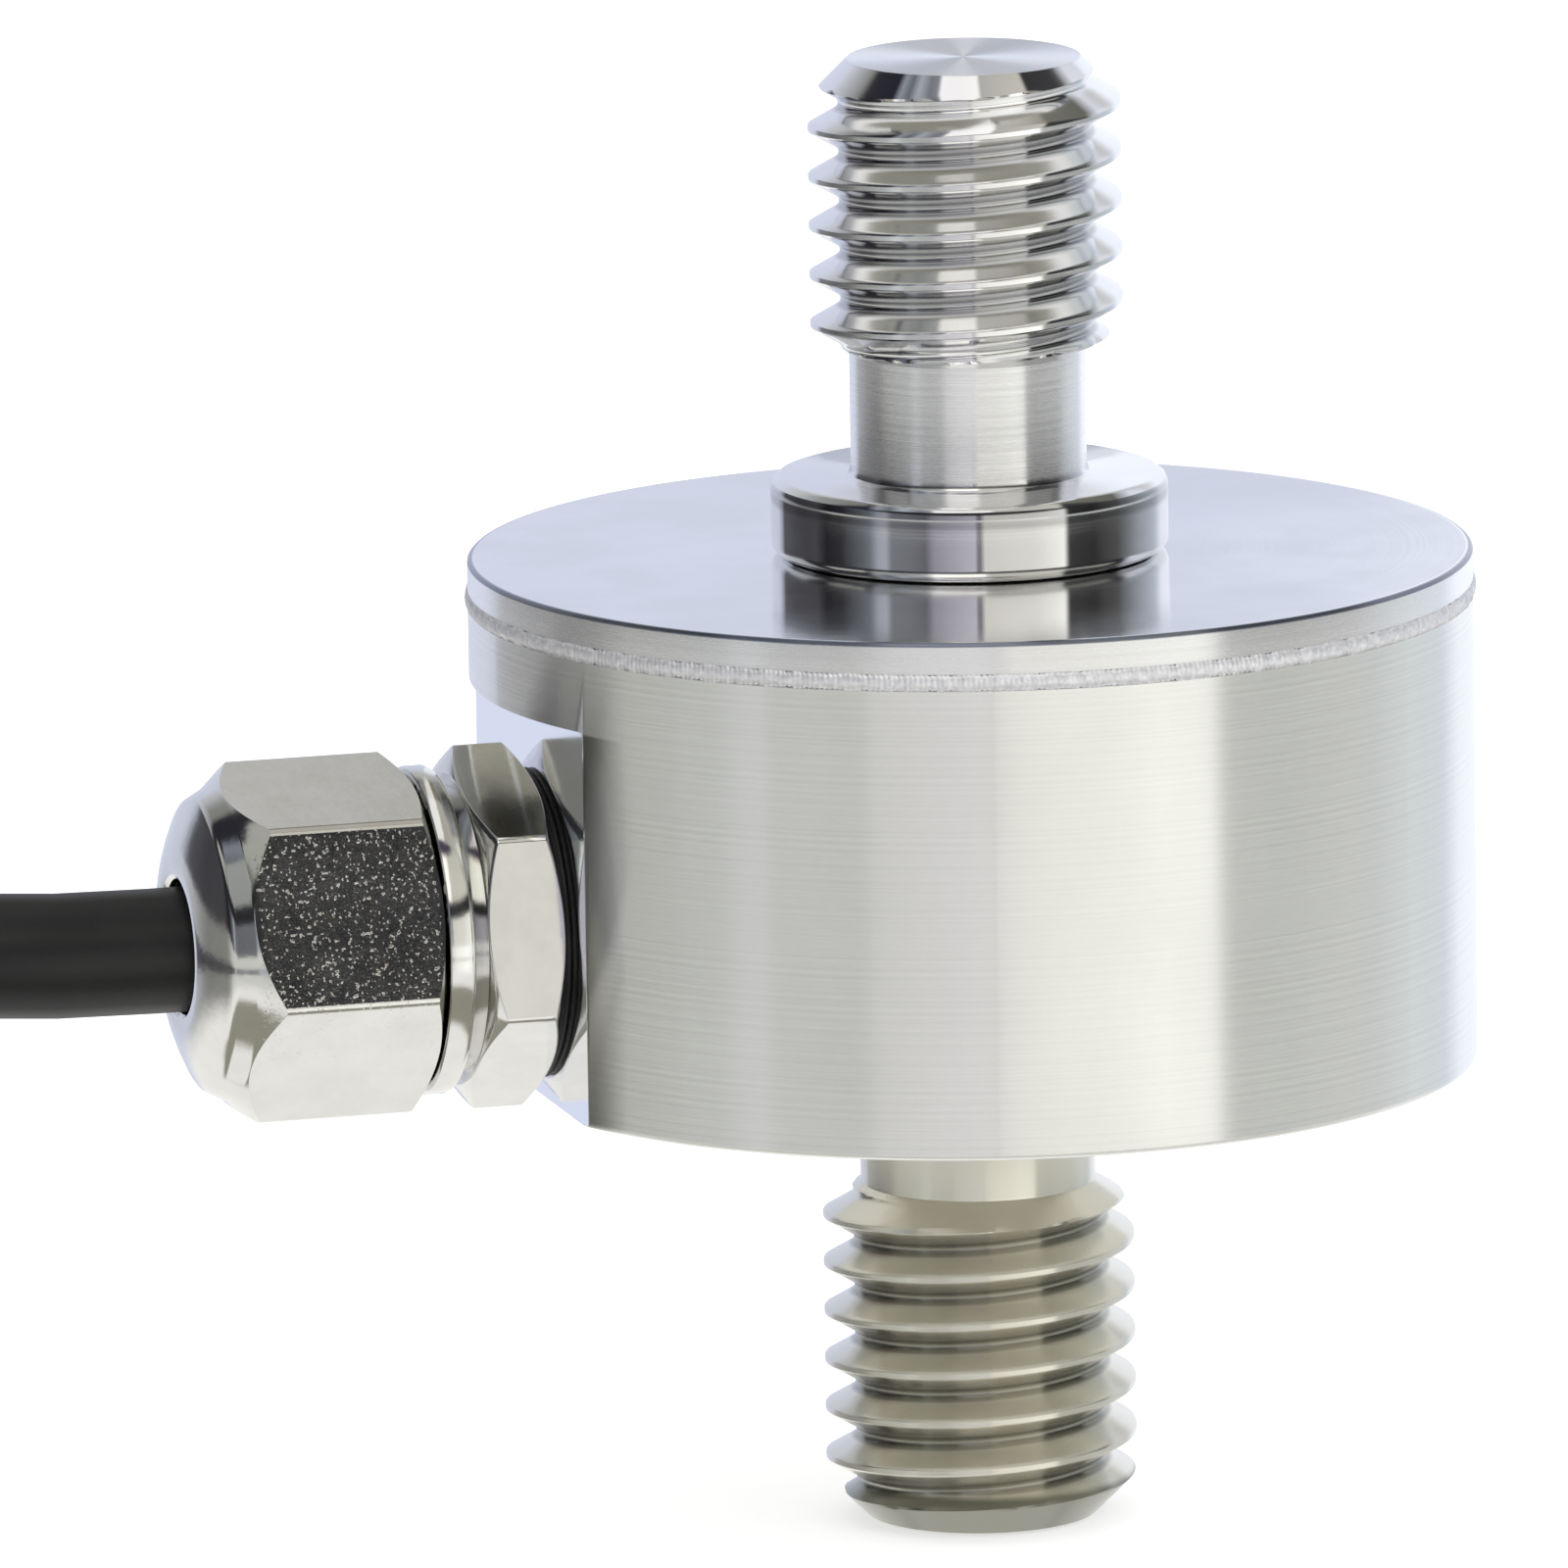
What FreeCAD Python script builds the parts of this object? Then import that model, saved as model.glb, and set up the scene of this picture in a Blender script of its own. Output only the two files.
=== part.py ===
import FreeCAD, Part
import math
import os

# Miniature tension load cell, in millimetres.
# The load axis is Z, the origin is the middle of the lower stud's end face,
# and the cable gland points along -X.

# Studs, both M8: the threads are plain cylinders at the crest diameter
stud_radius = 3.95
stud_end_chamfer = 1.0
stud_start_chamfer = 0.6
neck_radius = 2.98
upper_neck_height = 3.15
upper_thread_length = 7.45
lower_neck_height = 3.1
lower_thread_length = 8.6

# Body
body_radius = 12.7
body_height = 13.1
rim_height = 1.0
rim_edge = 0.12
body_foot_edge = 0.15
collar_radius = 5.02
collar_height = 2.0
collar_edge = 0.25

# Sensing element inside the upper member
diaphragm_thickness = 1.4
hub_radius = 3.2
hub_share = 0.405
spigot_wall = 1.55
spigot_share = 0.488
spigot_clearance = 0.05
root_chamfer = 0.3

# Cup
cavity_radius = 9.2
ledge_width = 0.8
floor_thickness = 1.6
floor_boss_radius = 4.2
floor_boss_height = 1.0
flat_depth = 1.1
flat_ledge_share = 0.4

# Weld bead
weld_depth = 0.25
weld_half_width = 0.22
weld_crown = 0.07

# Gland
gland_height = 4.3
hex_across_flats = 8.0
gasket_thickness = 0.17
gasket_radius = 3.9
union_hex_length = 2.0
union_chamfer = 0.4
union_roll = 9.0
union_groove_length = 0.34
union_groove_radius = 3.6
union_collar_length = 0.7
union_collar_radius = 4.15
union_collar_edge = 0.15
stub_radius = 2.5
stub_short_of_cavity = 0.5
thread_clearance = 0.03
nut_thread_radius = 3.05
nut_thread_length = 3.44
nut_gap = 0.06
nut_hex_length = 4.9
nut_chamfer = 0.4
nut_roll = 18.0
nut_dome_length = 1.08
nut_dome_radius = 3.97
nut_shoulder = 0.7
nut_mouth_radius = 1.95
nut_end_wall = 1.9
cable_clearance = 0.05
seal_radius = 2.45
seal_clearance = 0.05
seal_seat_depth = 2.55
seal_nose = 0.15
clamp_ring_thickness = 0.4
clamp_ring_radius = 2.95

# Cable and cores
cable_radius = 1.6
cable_inside = 0.4
core_radius = 0.35
core_pitch_radius = 0.88
drain_radius = 0.16
upper_core_share = 0.32
lower_core_share = 0.56
drain_share = 0.79
core_bend = 0.5

# Terminal board
board_clearance = 0.1
board_thickness = 0.8
board_hole_radius = 2.2
board_seat_gap = 0.4
pad_side = 0.76
pad_height = 0.05
lead_pad_beyond_gauge = 0.9
resistor_beyond_gauge = 0.7
resistor_size = (2.0, 1.25, 0.5)
resistor_cap = 0.35

# Gauges
gauge_count = 4
gauge_end_gap = 0.4
gauge_width = 2.4
gauge_film = 0.06
gauge_foil = 0.03
gauge_line_width = 0.16
gauge_lines = 5
gauge_tab_share = 0.183
gauge_lead_width = 0.3
gauge_lead_thickness = 0.1

# Cable outside: the turns of its coil and the free end
coil_inner_turn = 12.8
coil_outer_turn = 25.9
coil_layers = 6
coil_shoulder = 1.3
coil_x = -62.0
coil_y = -16.0
sleeve_radius = 1.95
sleeve_on_jacket = 5.0
sleeve_on_leads = 2.0
lead_radius = 0.5
lead_wire_radius = 0.28
lead_length = 22.0
lead_strip = 5.0
lead_spread = 3.0
lead_curl = 6.0
lead_bundle_radius = 0.95

# Levels and places that follow from these sizes
body_base = lower_neck_height + lower_thread_length
body_top = body_base + body_height
seam_level = body_top - rim_height
stud_base = body_top + collar_height + upper_neck_height
total_height = stud_base + upper_thread_length
flat_x = -(body_radius - flat_depth)
gland_level = body_base + gland_height
ledge_radius = cavity_radius - ledge_width
floor_level = body_base + floor_thickness
seat_level = gland_level + stub_radius + board_seat_gap
board_top = seat_level + board_thickness
diaphragm_level = body_top - diaphragm_thickness
hub_depth = hub_share * (diaphragm_level - board_top)
spigot_depth = spigot_share * (seam_level - board_top)
spigot_radius = cavity_radius - spigot_clearance
spigot_inner = spigot_radius - spigot_wall
hex_corner = hex_across_flats / 2 / math.cos(math.radians(30))
gland_top = gland_level + hex_corner
flat_ledge_level = gland_top + flat_ledge_share * (seam_level - weld_half_width - gland_top)

# Places of the gauges, their pads and the resistors, between the hub and the spigot
gauge_circle = (hub_radius + spigot_inner) / 2
gauge_length = spigot_inner - hub_radius - 2 * (root_chamfer + gauge_end_gap)
gauge_tab = gauge_tab_share * gauge_length
lead_pad_circle = gauge_circle + lead_pad_beyond_gauge
resistor_circle = gauge_circle + resistor_beyond_gauge

# Stations along the gland, counted outwards from the flat
union_start = gasket_thickness
groove_start = union_start + union_hex_length
collar_start = groove_start + union_groove_length
collar_end = collar_start + union_collar_length
nut_start = collar_end + nut_gap
nut_hex_end = nut_start + nut_hex_length
nut_end = nut_hex_end + nut_dome_length
stub_end = flat_x + ledge_radius + stub_short_of_cavity
upper_stub_end = collar_end + nut_thread_length
seat_start = upper_stub_end - seal_seat_depth
shoulder_level = nut_end - nut_end_wall
seal_end = shoulder_level - clamp_ring_thickness
bore_radius = cable_radius + cable_clearance
cable_start = flat_x + ledge_radius - cable_inside


def point(r, z):
    return FreeCAD.Vector(r, 0, z)


def turned(outline):
    """A solid turned about Z from a closed outline of (radius, height) points."""
    corners = [point(r, z) for r, z in outline]
    wire = Part.makePolygon(corners + corners[:1])
    return Part.Face(wire).revolve(FreeCAD.Vector(), FreeCAD.Vector(0, 0, 1), 360).Solids[0]


def turned_edges(edges):
    """A solid turned about Z from a closed chain of line and arc edges."""
    return Part.Face(Part.Wire(edges)).revolve(FreeCAD.Vector(), FreeCAD.Vector(0, 0, 1), 360).Solids[0]


def line(a, b):
    return Part.LineSegment(point(*a), point(*b)).toShape()


def arc(a, b, c):
    return Part.Arc(point(*a), point(*b), point(*c)).toShape()


def hexagon(length, start, roll):
    """A hexagonal bar on Z with one flat facing -Y, rolled by the given angle."""
    corners = []
    for k in range(6):
        turn = math.radians(60 * k + roll)
        corners.append(FreeCAD.Vector(hex_corner * math.cos(turn), hex_corner * math.sin(turn), start))
    face = Part.Face(Part.makePolygon(corners + corners[:1]))
    return face.extrude(FreeCAD.Vector(0, 0, length))


def on_gland_axis(solid):
    """Moves a solid from its own Z axis, counted from the flat, to the gland's axis."""
    placed = solid.copy()
    placed.rotate(FreeCAD.Vector(), FreeCAD.Vector(0, 1, 0), -90)
    placed.translate(FreeCAD.Vector(flat_x, 0, gland_level))
    return placed


def at_angle(solid, degrees):
    placed = solid.copy()
    placed.rotate(FreeCAD.Vector(), FreeCAD.Vector(0, 0, 1), degrees)
    return placed


def box_between(low, high):
    size = [b - a for a, b in zip(low, high)]
    return Part.makeBox(*size, FreeCAD.Vector(*low))


def cylinder(radius, height, base):
    return Part.makeCylinder(radius, height, FreeCAD.Vector(*base))


def path_of(route):
    """Straight runs joined by tangent arcs, and the radii of those arcs."""
    spots = [FreeCAD.Vector(*p) for p in route]
    edges = []
    radii = []
    here = spots[0]
    for before, corner, after in zip(spots, spots[1:], spots[2:]):
        run_in = (corner - before).Length
        run_out = (after - corner).Length
        way_in = (corner - before).normalize()
        way_out = (after - corner).normalize()
        turn = way_in.getAngle(way_out)
        reach = 0.45 * min(run_in, run_out)
        radius = reach / math.tan(turn / 2)
        start = corner - way_in * reach
        end = corner + way_out * reach
        inward = (way_out - way_in).normalize()
        middle = corner + inward * (radius / math.cos(turn / 2) - radius)
        edges.append(Part.LineSegment(here, start).toShape())
        edges.append(Part.Arc(start, middle, end).toShape())
        radii.append(radius)
        here = end
    edges.append(Part.LineSegment(here, spots[-1]).toShape())
    return Part.Wire(edges), radii


def tube_along(route, radius):
    """A round solid that follows a route."""
    wire, radii = path_of(route)
    start = FreeCAD.Vector(*route[0])
    way = FreeCAD.Vector(*route[1]) - start
    ring = Part.Wire(Part.makeCircle(radius, start, way))
    tube = wire.makePipeShell([ring], True, False)
    return tube, wire.Length, radii


def upper_member():
    seam_edge = body_radius - weld_depth
    outline = [
        (0, total_height),
        (stud_radius - stud_end_chamfer, total_height),
        (stud_radius, total_height - stud_end_chamfer),
        (stud_radius, stud_base + stud_start_chamfer),
        (neck_radius, stud_base),
        (neck_radius, body_top + collar_height),
        (collar_radius - collar_edge, body_top + collar_height),
        (collar_radius, body_top + collar_height - collar_edge),
        (collar_radius, body_top + collar_edge),
        (collar_radius - collar_edge, body_top),
        (body_radius - rim_edge, body_top),
        (body_radius, body_top - rim_edge),
        (body_radius, seam_level + weld_half_width),
        (seam_edge, seam_level),
        (spigot_radius, seam_level),
        (spigot_radius, seam_level - spigot_depth),
        (spigot_inner, seam_level - spigot_depth),
        (spigot_inner, diaphragm_level - root_chamfer),
        (spigot_inner - root_chamfer, diaphragm_level),
        (hub_radius + root_chamfer, diaphragm_level),
        (hub_radius, diaphragm_level - root_chamfer),
        (hub_radius, diaphragm_level - hub_depth),
        (0, diaphragm_level - hub_depth),
    ]
    return turned(outline)


def cup_housing():
    seam_edge = body_radius - weld_depth
    outline = [
        (0, 0),
        (stud_radius - stud_end_chamfer, 0),
        (stud_radius, stud_end_chamfer),
        (stud_radius, lower_thread_length - stud_start_chamfer),
        (neck_radius, lower_thread_length),
        (neck_radius, body_base),
        (body_radius - body_foot_edge, body_base),
        (body_radius, body_base + body_foot_edge),
        (body_radius, seam_level - weld_half_width),
        (seam_edge, seam_level),
        (cavity_radius, seam_level),
        (cavity_radius, seat_level),
        (ledge_radius, seat_level),
        (ledge_radius, floor_level),
        (floor_boss_radius, floor_level),
        (floor_boss_radius, floor_level + floor_boss_height),
        (0, floor_level + floor_boss_height),
    ]
    cup = turned(outline)
    mill = box_between((-2 * body_radius, -body_radius, body_base - 1), (flat_x, body_radius, flat_ledge_level))
    hole_length = ledge_width - flat_x - ledge_radius
    hole = on_gland_axis(cylinder(stub_radius + thread_clearance, hole_length, (0, 0, -hole_length)))
    return cup.cut(mill).cut(hole)


def weld_bead():
    crown_half_width = weld_half_width / 2
    return turned([
        (body_radius - weld_depth, seam_level),
        (body_radius, seam_level + weld_half_width),
        (body_radius + weld_crown, seam_level + crown_half_width),
        (body_radius + weld_crown, seam_level - crown_half_width),
        (body_radius, seam_level - weld_half_width),
    ])


def gland_gasket():
    outline = [
        (stub_radius + thread_clearance, 0),
        (gasket_radius, 0),
        (gasket_radius, gasket_thickness),
        (stub_radius + thread_clearance, gasket_thickness),
    ]
    return on_gland_axis(turned(outline))


def gland_body():
    flat_radius = hex_across_flats / 2 - 0.05
    bore_end = seat_start
    seat_end = seat_start + seal_radius + seal_clearance - bore_radius
    hex_limits = [
        (0, union_start),
        (flat_radius, union_start),
        (hex_corner, union_start + union_chamfer),
        (hex_corner, groove_start - union_chamfer),
        (flat_radius, groove_start),
        (0, groove_start),
    ]
    head = turned(hex_limits).common(hexagon(union_hex_length, union_start, union_roll))
    shank = turned([
        (0, stub_end),
        (stub_radius - 0.3, stub_end),
        (stub_radius, stub_end + 0.3),
        (stub_radius, union_start),
        (union_groove_radius, union_start),
        (union_groove_radius, collar_start),
        (union_collar_radius - union_collar_edge, collar_start),
        (union_collar_radius, collar_start + union_collar_edge),
        (union_collar_radius, collar_end - union_collar_edge),
        (union_collar_radius - union_collar_edge, collar_end),
        (nut_thread_radius, collar_end),
        (nut_thread_radius, upper_stub_end),
        (0, upper_stub_end),
    ])
    bore = turned([
        (0, stub_end - 1),
        (bore_radius, stub_end - 1),
        (bore_radius, bore_end),
        (seal_radius + seal_clearance, seat_end),
        (seal_radius + seal_clearance, upper_stub_end + 1),
        (0, upper_stub_end + 1),
    ])
    return on_gland_axis(head.fuse(shank).cut(bore).removeSplitter())


def gland_seal():
    nose_start = seat_start + seal_nose + seal_clearance
    nose_end = seat_start + seal_radius - bore_radius + seal_clearance
    outline = [
        (cable_radius, nose_start),
        (bore_radius + seal_nose, nose_start),
        (seal_radius, nose_end),
        (seal_radius, seal_end),
        (cable_radius, seal_end),
    ]
    return on_gland_axis(turned(outline))


def clamp_ring():
    outline = [
        (bore_radius, seal_end),
        (clamp_ring_radius, seal_end),
        (clamp_ring_radius, shoulder_level),
        (bore_radius, shoulder_level),
    ]
    return on_gland_axis(turned(outline))


def compression_nut():
    corner_end = nut_hex_end - nut_shoulder
    dome_middle = (nut_mouth_radius + 0.62 * (nut_dome_radius - nut_mouth_radius), nut_hex_end + 0.72 * nut_dome_length)
    edges = [
        line((0, nut_start), (hex_across_flats / 2 - 0.1, nut_start)),
        line((hex_across_flats / 2 - 0.1, nut_start), (hex_corner, nut_start + nut_chamfer)),
        line((hex_corner, nut_start + nut_chamfer), (hex_corner, corner_end)),
        line((hex_corner, corner_end), (nut_dome_radius, nut_hex_end)),
        arc((nut_dome_radius, nut_hex_end), dome_middle, (nut_mouth_radius, nut_end)),
        line((nut_mouth_radius, nut_end), (0, nut_end)),
        line((0, nut_end), (0, nut_start)),
    ]
    outside = turned_edges(edges)
    bar = hexagon(nut_end - nut_start, nut_start, nut_roll)
    inside = turned([
        (0, nut_start - 1),
        (nut_thread_radius + thread_clearance, nut_start - 1),
        (nut_thread_radius + thread_clearance, shoulder_level),
        (bore_radius + cable_clearance, shoulder_level),
        (bore_radius + cable_clearance, nut_end + 1),
        (0, nut_end + 1),
    ])
    return on_gland_axis(outside.common(bar).cut(inside))


def strain_gauge():
    """A foil gauge under the diaphragm at angle 0: film, grid lines, end loops and two tabs."""
    low_film = diaphragm_level - gauge_film
    low_foil = low_film - gauge_foil
    inner = gauge_circle - gauge_length / 2
    outer = gauge_circle + gauge_length / 2
    half = gauge_width / 2
    gauge = box_between((inner, -half, low_film), (outer, half, diaphragm_level))
    grid_start = inner + 2 * gauge_tab
    grid_end = outer - gauge_tab
    pitch = (gauge_width - 2 * gauge_line_width) / gauge_lines
    first = -pitch * (gauge_lines - 1) / 2
    foil = []
    for k in range(gauge_lines):
        middle = first + k * pitch
        side = gauge_line_width / 2
        foil.append(box_between((grid_start, middle - side, low_foil), (grid_end, middle + side, low_film)))
    for k in range(gauge_lines - 1):
        middle = first + k * pitch
        start = grid_end - gauge_line_width if k % 2 == 0 else grid_start
        foil.append(box_between((start, middle, low_foil), (start + gauge_line_width, middle + pitch, low_film)))
    for side in (-1, 1):
        edge = side * (half - gauge_tab)
        low_y, high_y = sorted((edge, side * (half - gauge_line_width)))
        foil.append(box_between((grid_start - gauge_tab, low_y, low_foil), (grid_start + gauge_line_width, high_y, low_film)))
    return gauge.multiFuse(foil).removeSplitter()


def gauge_lead_pair():
    """Two flat ribbon leads from the tabs of the gauge at angle 0 down to the board's pads."""
    tab_x = gauge_circle - gauge_length / 2 + 1.5 * gauge_tab
    tab_y = gauge_width / 2 - 0.6 * gauge_tab
    top = diaphragm_level - gauge_film - gauge_foil
    bottom = board_top + pad_height
    drop = top - bottom
    half = gauge_lead_thickness / 2
    edge = [
        (tab_x - half, top),
        (tab_x + half, top),
        (tab_x + half, top - 0.3 * drop),
        (lead_pad_circle + half, bottom + 0.3 * drop),
        (lead_pad_circle + half, bottom),
        (lead_pad_circle - half, bottom),
        (lead_pad_circle - half, bottom + 0.3 * drop),
        (tab_x - half, top - 0.3 * drop),
    ]
    corners = [point(x, z) for x, z in edge]
    ribbon = Part.Face(Part.makePolygon(corners + corners[:1])).extrude(FreeCAD.Vector(0, gauge_lead_width, 0))
    ribbons = []
    for side in (-1, 1):
        placed = ribbon.copy()
        placed.translate(FreeCAD.Vector(0, side * tab_y - gauge_lead_width / 2, 0))
        ribbons.append(placed)
    return Part.makeCompound(ribbons)


def core_places():
    """Each core's name, its sideways and upward offset in the cable's end, and the x of its pad."""
    step = core_pitch_radius / math.sqrt(2)
    ring_width = ledge_radius - board_hole_radius
    upper_x = -ledge_radius + upper_core_share * ring_width
    lower_x = -ledge_radius + lower_core_share * ring_width
    drain_x = -ledge_radius + drain_share * ring_width
    return [
        ("core_red", step, step, upper_x),
        ("core_black", -step, step, upper_x),
        ("core_green", step, -step, lower_x),
        ("core_white", -step, -step, lower_x),
        ("shield_drain", 0, 0, drain_x),
    ]


def solder_pad(x, y, z):
    half = pad_side / 2
    return box_between((x - half, y - half, z), (x + half, y + half, z + pad_height))


def terminal_board():
    outline = [
        (board_hole_radius, seat_level),
        (cavity_radius - board_clearance, seat_level),
        (cavity_radius - board_clearance, board_top),
        (board_hole_radius, board_top),
    ]
    board = turned(outline)
    pads = []
    tab_y = gauge_width / 2 - 0.6 * gauge_tab
    for k in range(gauge_count):
        for side in (-1, 1):
            pad = solder_pad(lead_pad_circle, side * tab_y, board_top)
            pads.append(at_angle(pad, 360 * k / gauge_count))
    for name, sideways, upward, pad_x in core_places():
        pads.append(solder_pad(pad_x, sideways, seat_level - pad_height))
    return board.multiFuse(pads)


def chip_resistor():
    """A chip resistor on the board at angle 0, with a metal cap on each end."""
    length, width, height = resistor_size
    across = resistor_cap / 4
    low = (resistor_circle - width / 2, -length / 2, board_top)
    high = (resistor_circle + width / 2, length / 2, board_top + height)
    body = box_between(
        (low[0] + across, low[1] + resistor_cap, low[2]),
        (high[0] - across, high[1] - resistor_cap, high[2] - across),
    )
    caps = [
        box_between(low, (high[0], low[1] + resistor_cap, high[2])),
        box_between((low[0], high[1] - resistor_cap, low[2]), high),
    ]
    return body.multiFuse(caps)


def cable_core(sideways, upward, pad_x, radius):
    """A core from the cable's end, bent up to its pad under the board."""
    level = gland_level + upward
    core_start = cable_inside - ledge_radius
    route = [
        (core_start, sideways, level),
        (pad_x - core_bend, sideways, level),
        (pad_x, sideways, level + core_bend),
        (pad_x, sideways, seat_level - pad_height),
    ]
    spine = Part.makePolygon([FreeCAD.Vector(*p) for p in route])
    ring = Part.Wire(Part.makeCircle(radius, FreeCAD.Vector(*route[0]), FreeCAD.Vector(1, 0, 0)))
    return spine.makePipeShell([ring], True, False, 1)


# The cable's route outside, from its end inside the cell to the coil
coil_top_turn = (2 * coil_layers - 1) * cable_radius
coil_height = 2 * coil_layers * cable_radius
coil_side = coil_y + coil_outer_turn
cable_route = [
    (flat_x - cable_start, 0, gland_level),
    (-28.0, 0, gland_level),
    (-44.0, coil_side, coil_top_turn),
    (coil_x, coil_side, coil_top_turn),
]

# The cable's end, which leaves the coil's lowest turn and lies round its side
tail_route = [
    (coil_x, coil_side, cable_radius),
    (coil_x - 10.0, coil_side, cable_radius),
    (coil_x - 20.5, coil_y + 21.5, cable_radius),
    (coil_x - 28.5, coil_y + 13.0, sleeve_radius),
    (coil_x - 31.5, coil_y + 3.0, sleeve_radius),
]


# Each lead's angle in the bundle and its place in the fan
lead_places = [
    ("lead_red", 162, -2),
    ("lead_black", 234, -1),
    ("lead_shield", 90, 0),
    ("lead_green", 306, 1),
    ("lead_white", 18, 2),
]


def cable_coil():
    """The coil's outer shape, with flat ends where the cable enters and leaves."""
    inner = coil_inner_turn - cable_radius
    core = coil_outer_turn - cable_radius
    outer = coil_outer_turn + cable_radius
    turn_height = 2 * cable_radius
    top = coil_height - turn_height
    whole = turned([(inner, 0), (core, 0), (core, coil_height), (inner, coil_height)])
    belt = turned([
        (inner, turn_height),
        (outer, turn_height),
        (outer, top - coil_shoulder),
        (outer - coil_shoulder, top),
        (inner, top),
    ])
    rim = turned([(inner, 0), (outer, 0), (outer, turn_height), (inner, turn_height)])
    top_rim = rim.copy()
    top_rim.translate(FreeCAD.Vector(0, 0, top))
    left = box_between((-2 * outer, -2 * outer, -1), (0, 2 * outer, coil_height + 1))
    right = box_between((0, -2 * outer, -1), (2 * outer, 2 * outer, coil_height + 1))
    coil = whole.multiFuse([belt, top_rim.common(left), rim.common(right)]).removeSplitter()
    coil.translate(FreeCAD.Vector(coil_x, coil_y, 0))
    return coil


def end_sleeve():
    start = FreeCAD.Vector(*tail_route[-1])
    way = (start - FreeCAD.Vector(*tail_route[-2])).normalize()
    back = start - way * sleeve_on_jacket
    whole_length = sleeve_on_jacket + sleeve_on_leads
    whole = Part.makeCylinder(sleeve_radius, whole_length, back, way)
    jacket = Part.makeCylinder(cable_radius, sleeve_on_jacket, back, way)
    bundle_radius = lead_bundle_radius + lead_radius + cable_clearance
    bundle = Part.makeCylinder(bundle_radius, whole_length, back, way)
    return whole.cut(jacket).cut(bundle)


def flying_lead(bundle_angle, place):
    """One lead of the fan on the ground: insulated, with a bare wire end."""
    start = FreeCAD.Vector(*tail_route[-1])
    way = (start - FreeCAD.Vector(*tail_route[-2])).normalize()
    side = FreeCAD.Vector(way.y, -way.x, 0)
    turn = math.radians(bundle_angle)
    inside = side * (lead_bundle_radius * math.cos(turn)) + FreeCAD.Vector(0, 0, lead_bundle_radius * math.sin(turn))
    drop = FreeCAD.Vector(0, 0, lead_radius - sleeve_radius)
    straight = 2 * sleeve_on_leads
    tip_side = side * (place * lead_spread - lead_curl)
    half_side = side * (place * lead_spread * 0.6 - lead_curl * 0.2)
    reach = lead_length - abs(place)
    route = [
        start + inside,
        start + inside + way * straight,
        start + way * (0.55 * reach) + half_side + drop,
        start + way * reach + tip_side + drop,
    ]
    cover, length, radii = tube_along(route, lead_radius)
    last = (route[-1] - route[-2]).normalize()
    wire = Part.makeCylinder(lead_wire_radius, lead_strip + lead_radius, route[-1] - last * lead_radius, last)
    print("lead bend radii", [round(r, 1) for r in radii])
    return cover.fuse(wire)


def write(name, shape):
    shape.exportStep("parts/" + name + ".step")
    state = "valid" if shape.isValid() else "NOT VALID"
    print(name, len(shape.Solids), "solids", round(shape.Volume, 3), "mm3", state)


def main():
    os.makedirs("parts", exist_ok=True)
    write("upper_member", upper_member())
    write("cup_housing", cup_housing())
    write("weld_bead", weld_bead())
    write("gland_gasket", gland_gasket())
    write("gland_body", gland_body())
    write("gland_seal", gland_seal())
    write("clamp_ring", clamp_ring())
    write("compression_nut", compression_nut())
    for k in range(gauge_count):
        turn = 360 * k / gauge_count
        write("strain_gauge_%d" % (k + 1), at_angle(strain_gauge(), turn))
        write("gauge_leads_%d" % (k + 1), at_angle(gauge_lead_pair(), turn))
    write("terminal_board", terminal_board())
    resistors = ["zero_resistor_1", "span_resistor", "temperature_resistor", "zero_resistor_2"]
    for k, name in enumerate(resistors):
        write(name, at_angle(chip_resistor(), 45 + 90 * k))
    for name, sideways, upward, pad_x in core_places():
        radius = drain_radius if name == "shield_drain" else core_radius
        write(name, cable_core(sideways, upward, pad_x, radius))
    for name, route in (("cable", cable_route), ("cable_tail", tail_route)):
        tube, length, radii = tube_along(route, cable_radius)
        expected = math.pi * cable_radius ** 2 * length
        print(name, "length", round(length, 2), "bend radii", [round(r, 1) for r in radii])
        print(name, "volume over section times length", round(tube.Volume / expected, 5))
        write(name, tube)
    write("cable_coil", cable_coil())
    write("end_sleeve", end_sleeve())
    for name, bundle_angle, place in lead_places:
        write(name, flying_lead(bundle_angle, place))


main()
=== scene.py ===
import math
import bmesh
import bpy
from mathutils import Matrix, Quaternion, Vector, noise


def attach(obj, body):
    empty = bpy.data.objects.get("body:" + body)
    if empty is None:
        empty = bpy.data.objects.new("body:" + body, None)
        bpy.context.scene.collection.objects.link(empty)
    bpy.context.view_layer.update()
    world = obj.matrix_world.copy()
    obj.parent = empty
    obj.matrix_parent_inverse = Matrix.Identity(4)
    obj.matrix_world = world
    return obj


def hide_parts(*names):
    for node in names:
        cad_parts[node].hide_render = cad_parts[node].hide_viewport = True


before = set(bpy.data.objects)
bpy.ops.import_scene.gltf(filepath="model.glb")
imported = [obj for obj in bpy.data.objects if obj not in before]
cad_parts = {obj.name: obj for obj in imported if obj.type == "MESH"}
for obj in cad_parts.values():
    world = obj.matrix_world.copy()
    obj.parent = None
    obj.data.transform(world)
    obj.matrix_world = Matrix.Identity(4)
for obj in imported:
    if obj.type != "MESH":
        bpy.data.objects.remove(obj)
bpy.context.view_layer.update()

MM = 0.001

# Sizes in millimetres. The main ones are those of the solids.
# The load axis is Z, the lower stud stands on Z = 0, and the gland points along -X.
PITCH = 1.25
CREST = 3.95
ROOT = 3.18
NECK = 2.98
STUD_CHAMFER = 1.0
STUD_STEPS = 160

BODY_BASE = 11.7
BODY_TOP = 24.8
BODY_RADIUS = 12.7
SEAM = 23.8
SEAM_BOTTOM = 12.45
BEAD_HALF_WIDTH = 0.21
COLLAR_RADIUS = 5.02
COLLAR_TOP = 26.8
STUD_BASE = 29.95
TOTAL = 37.4
LOWER_THREAD = 8.6

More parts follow.
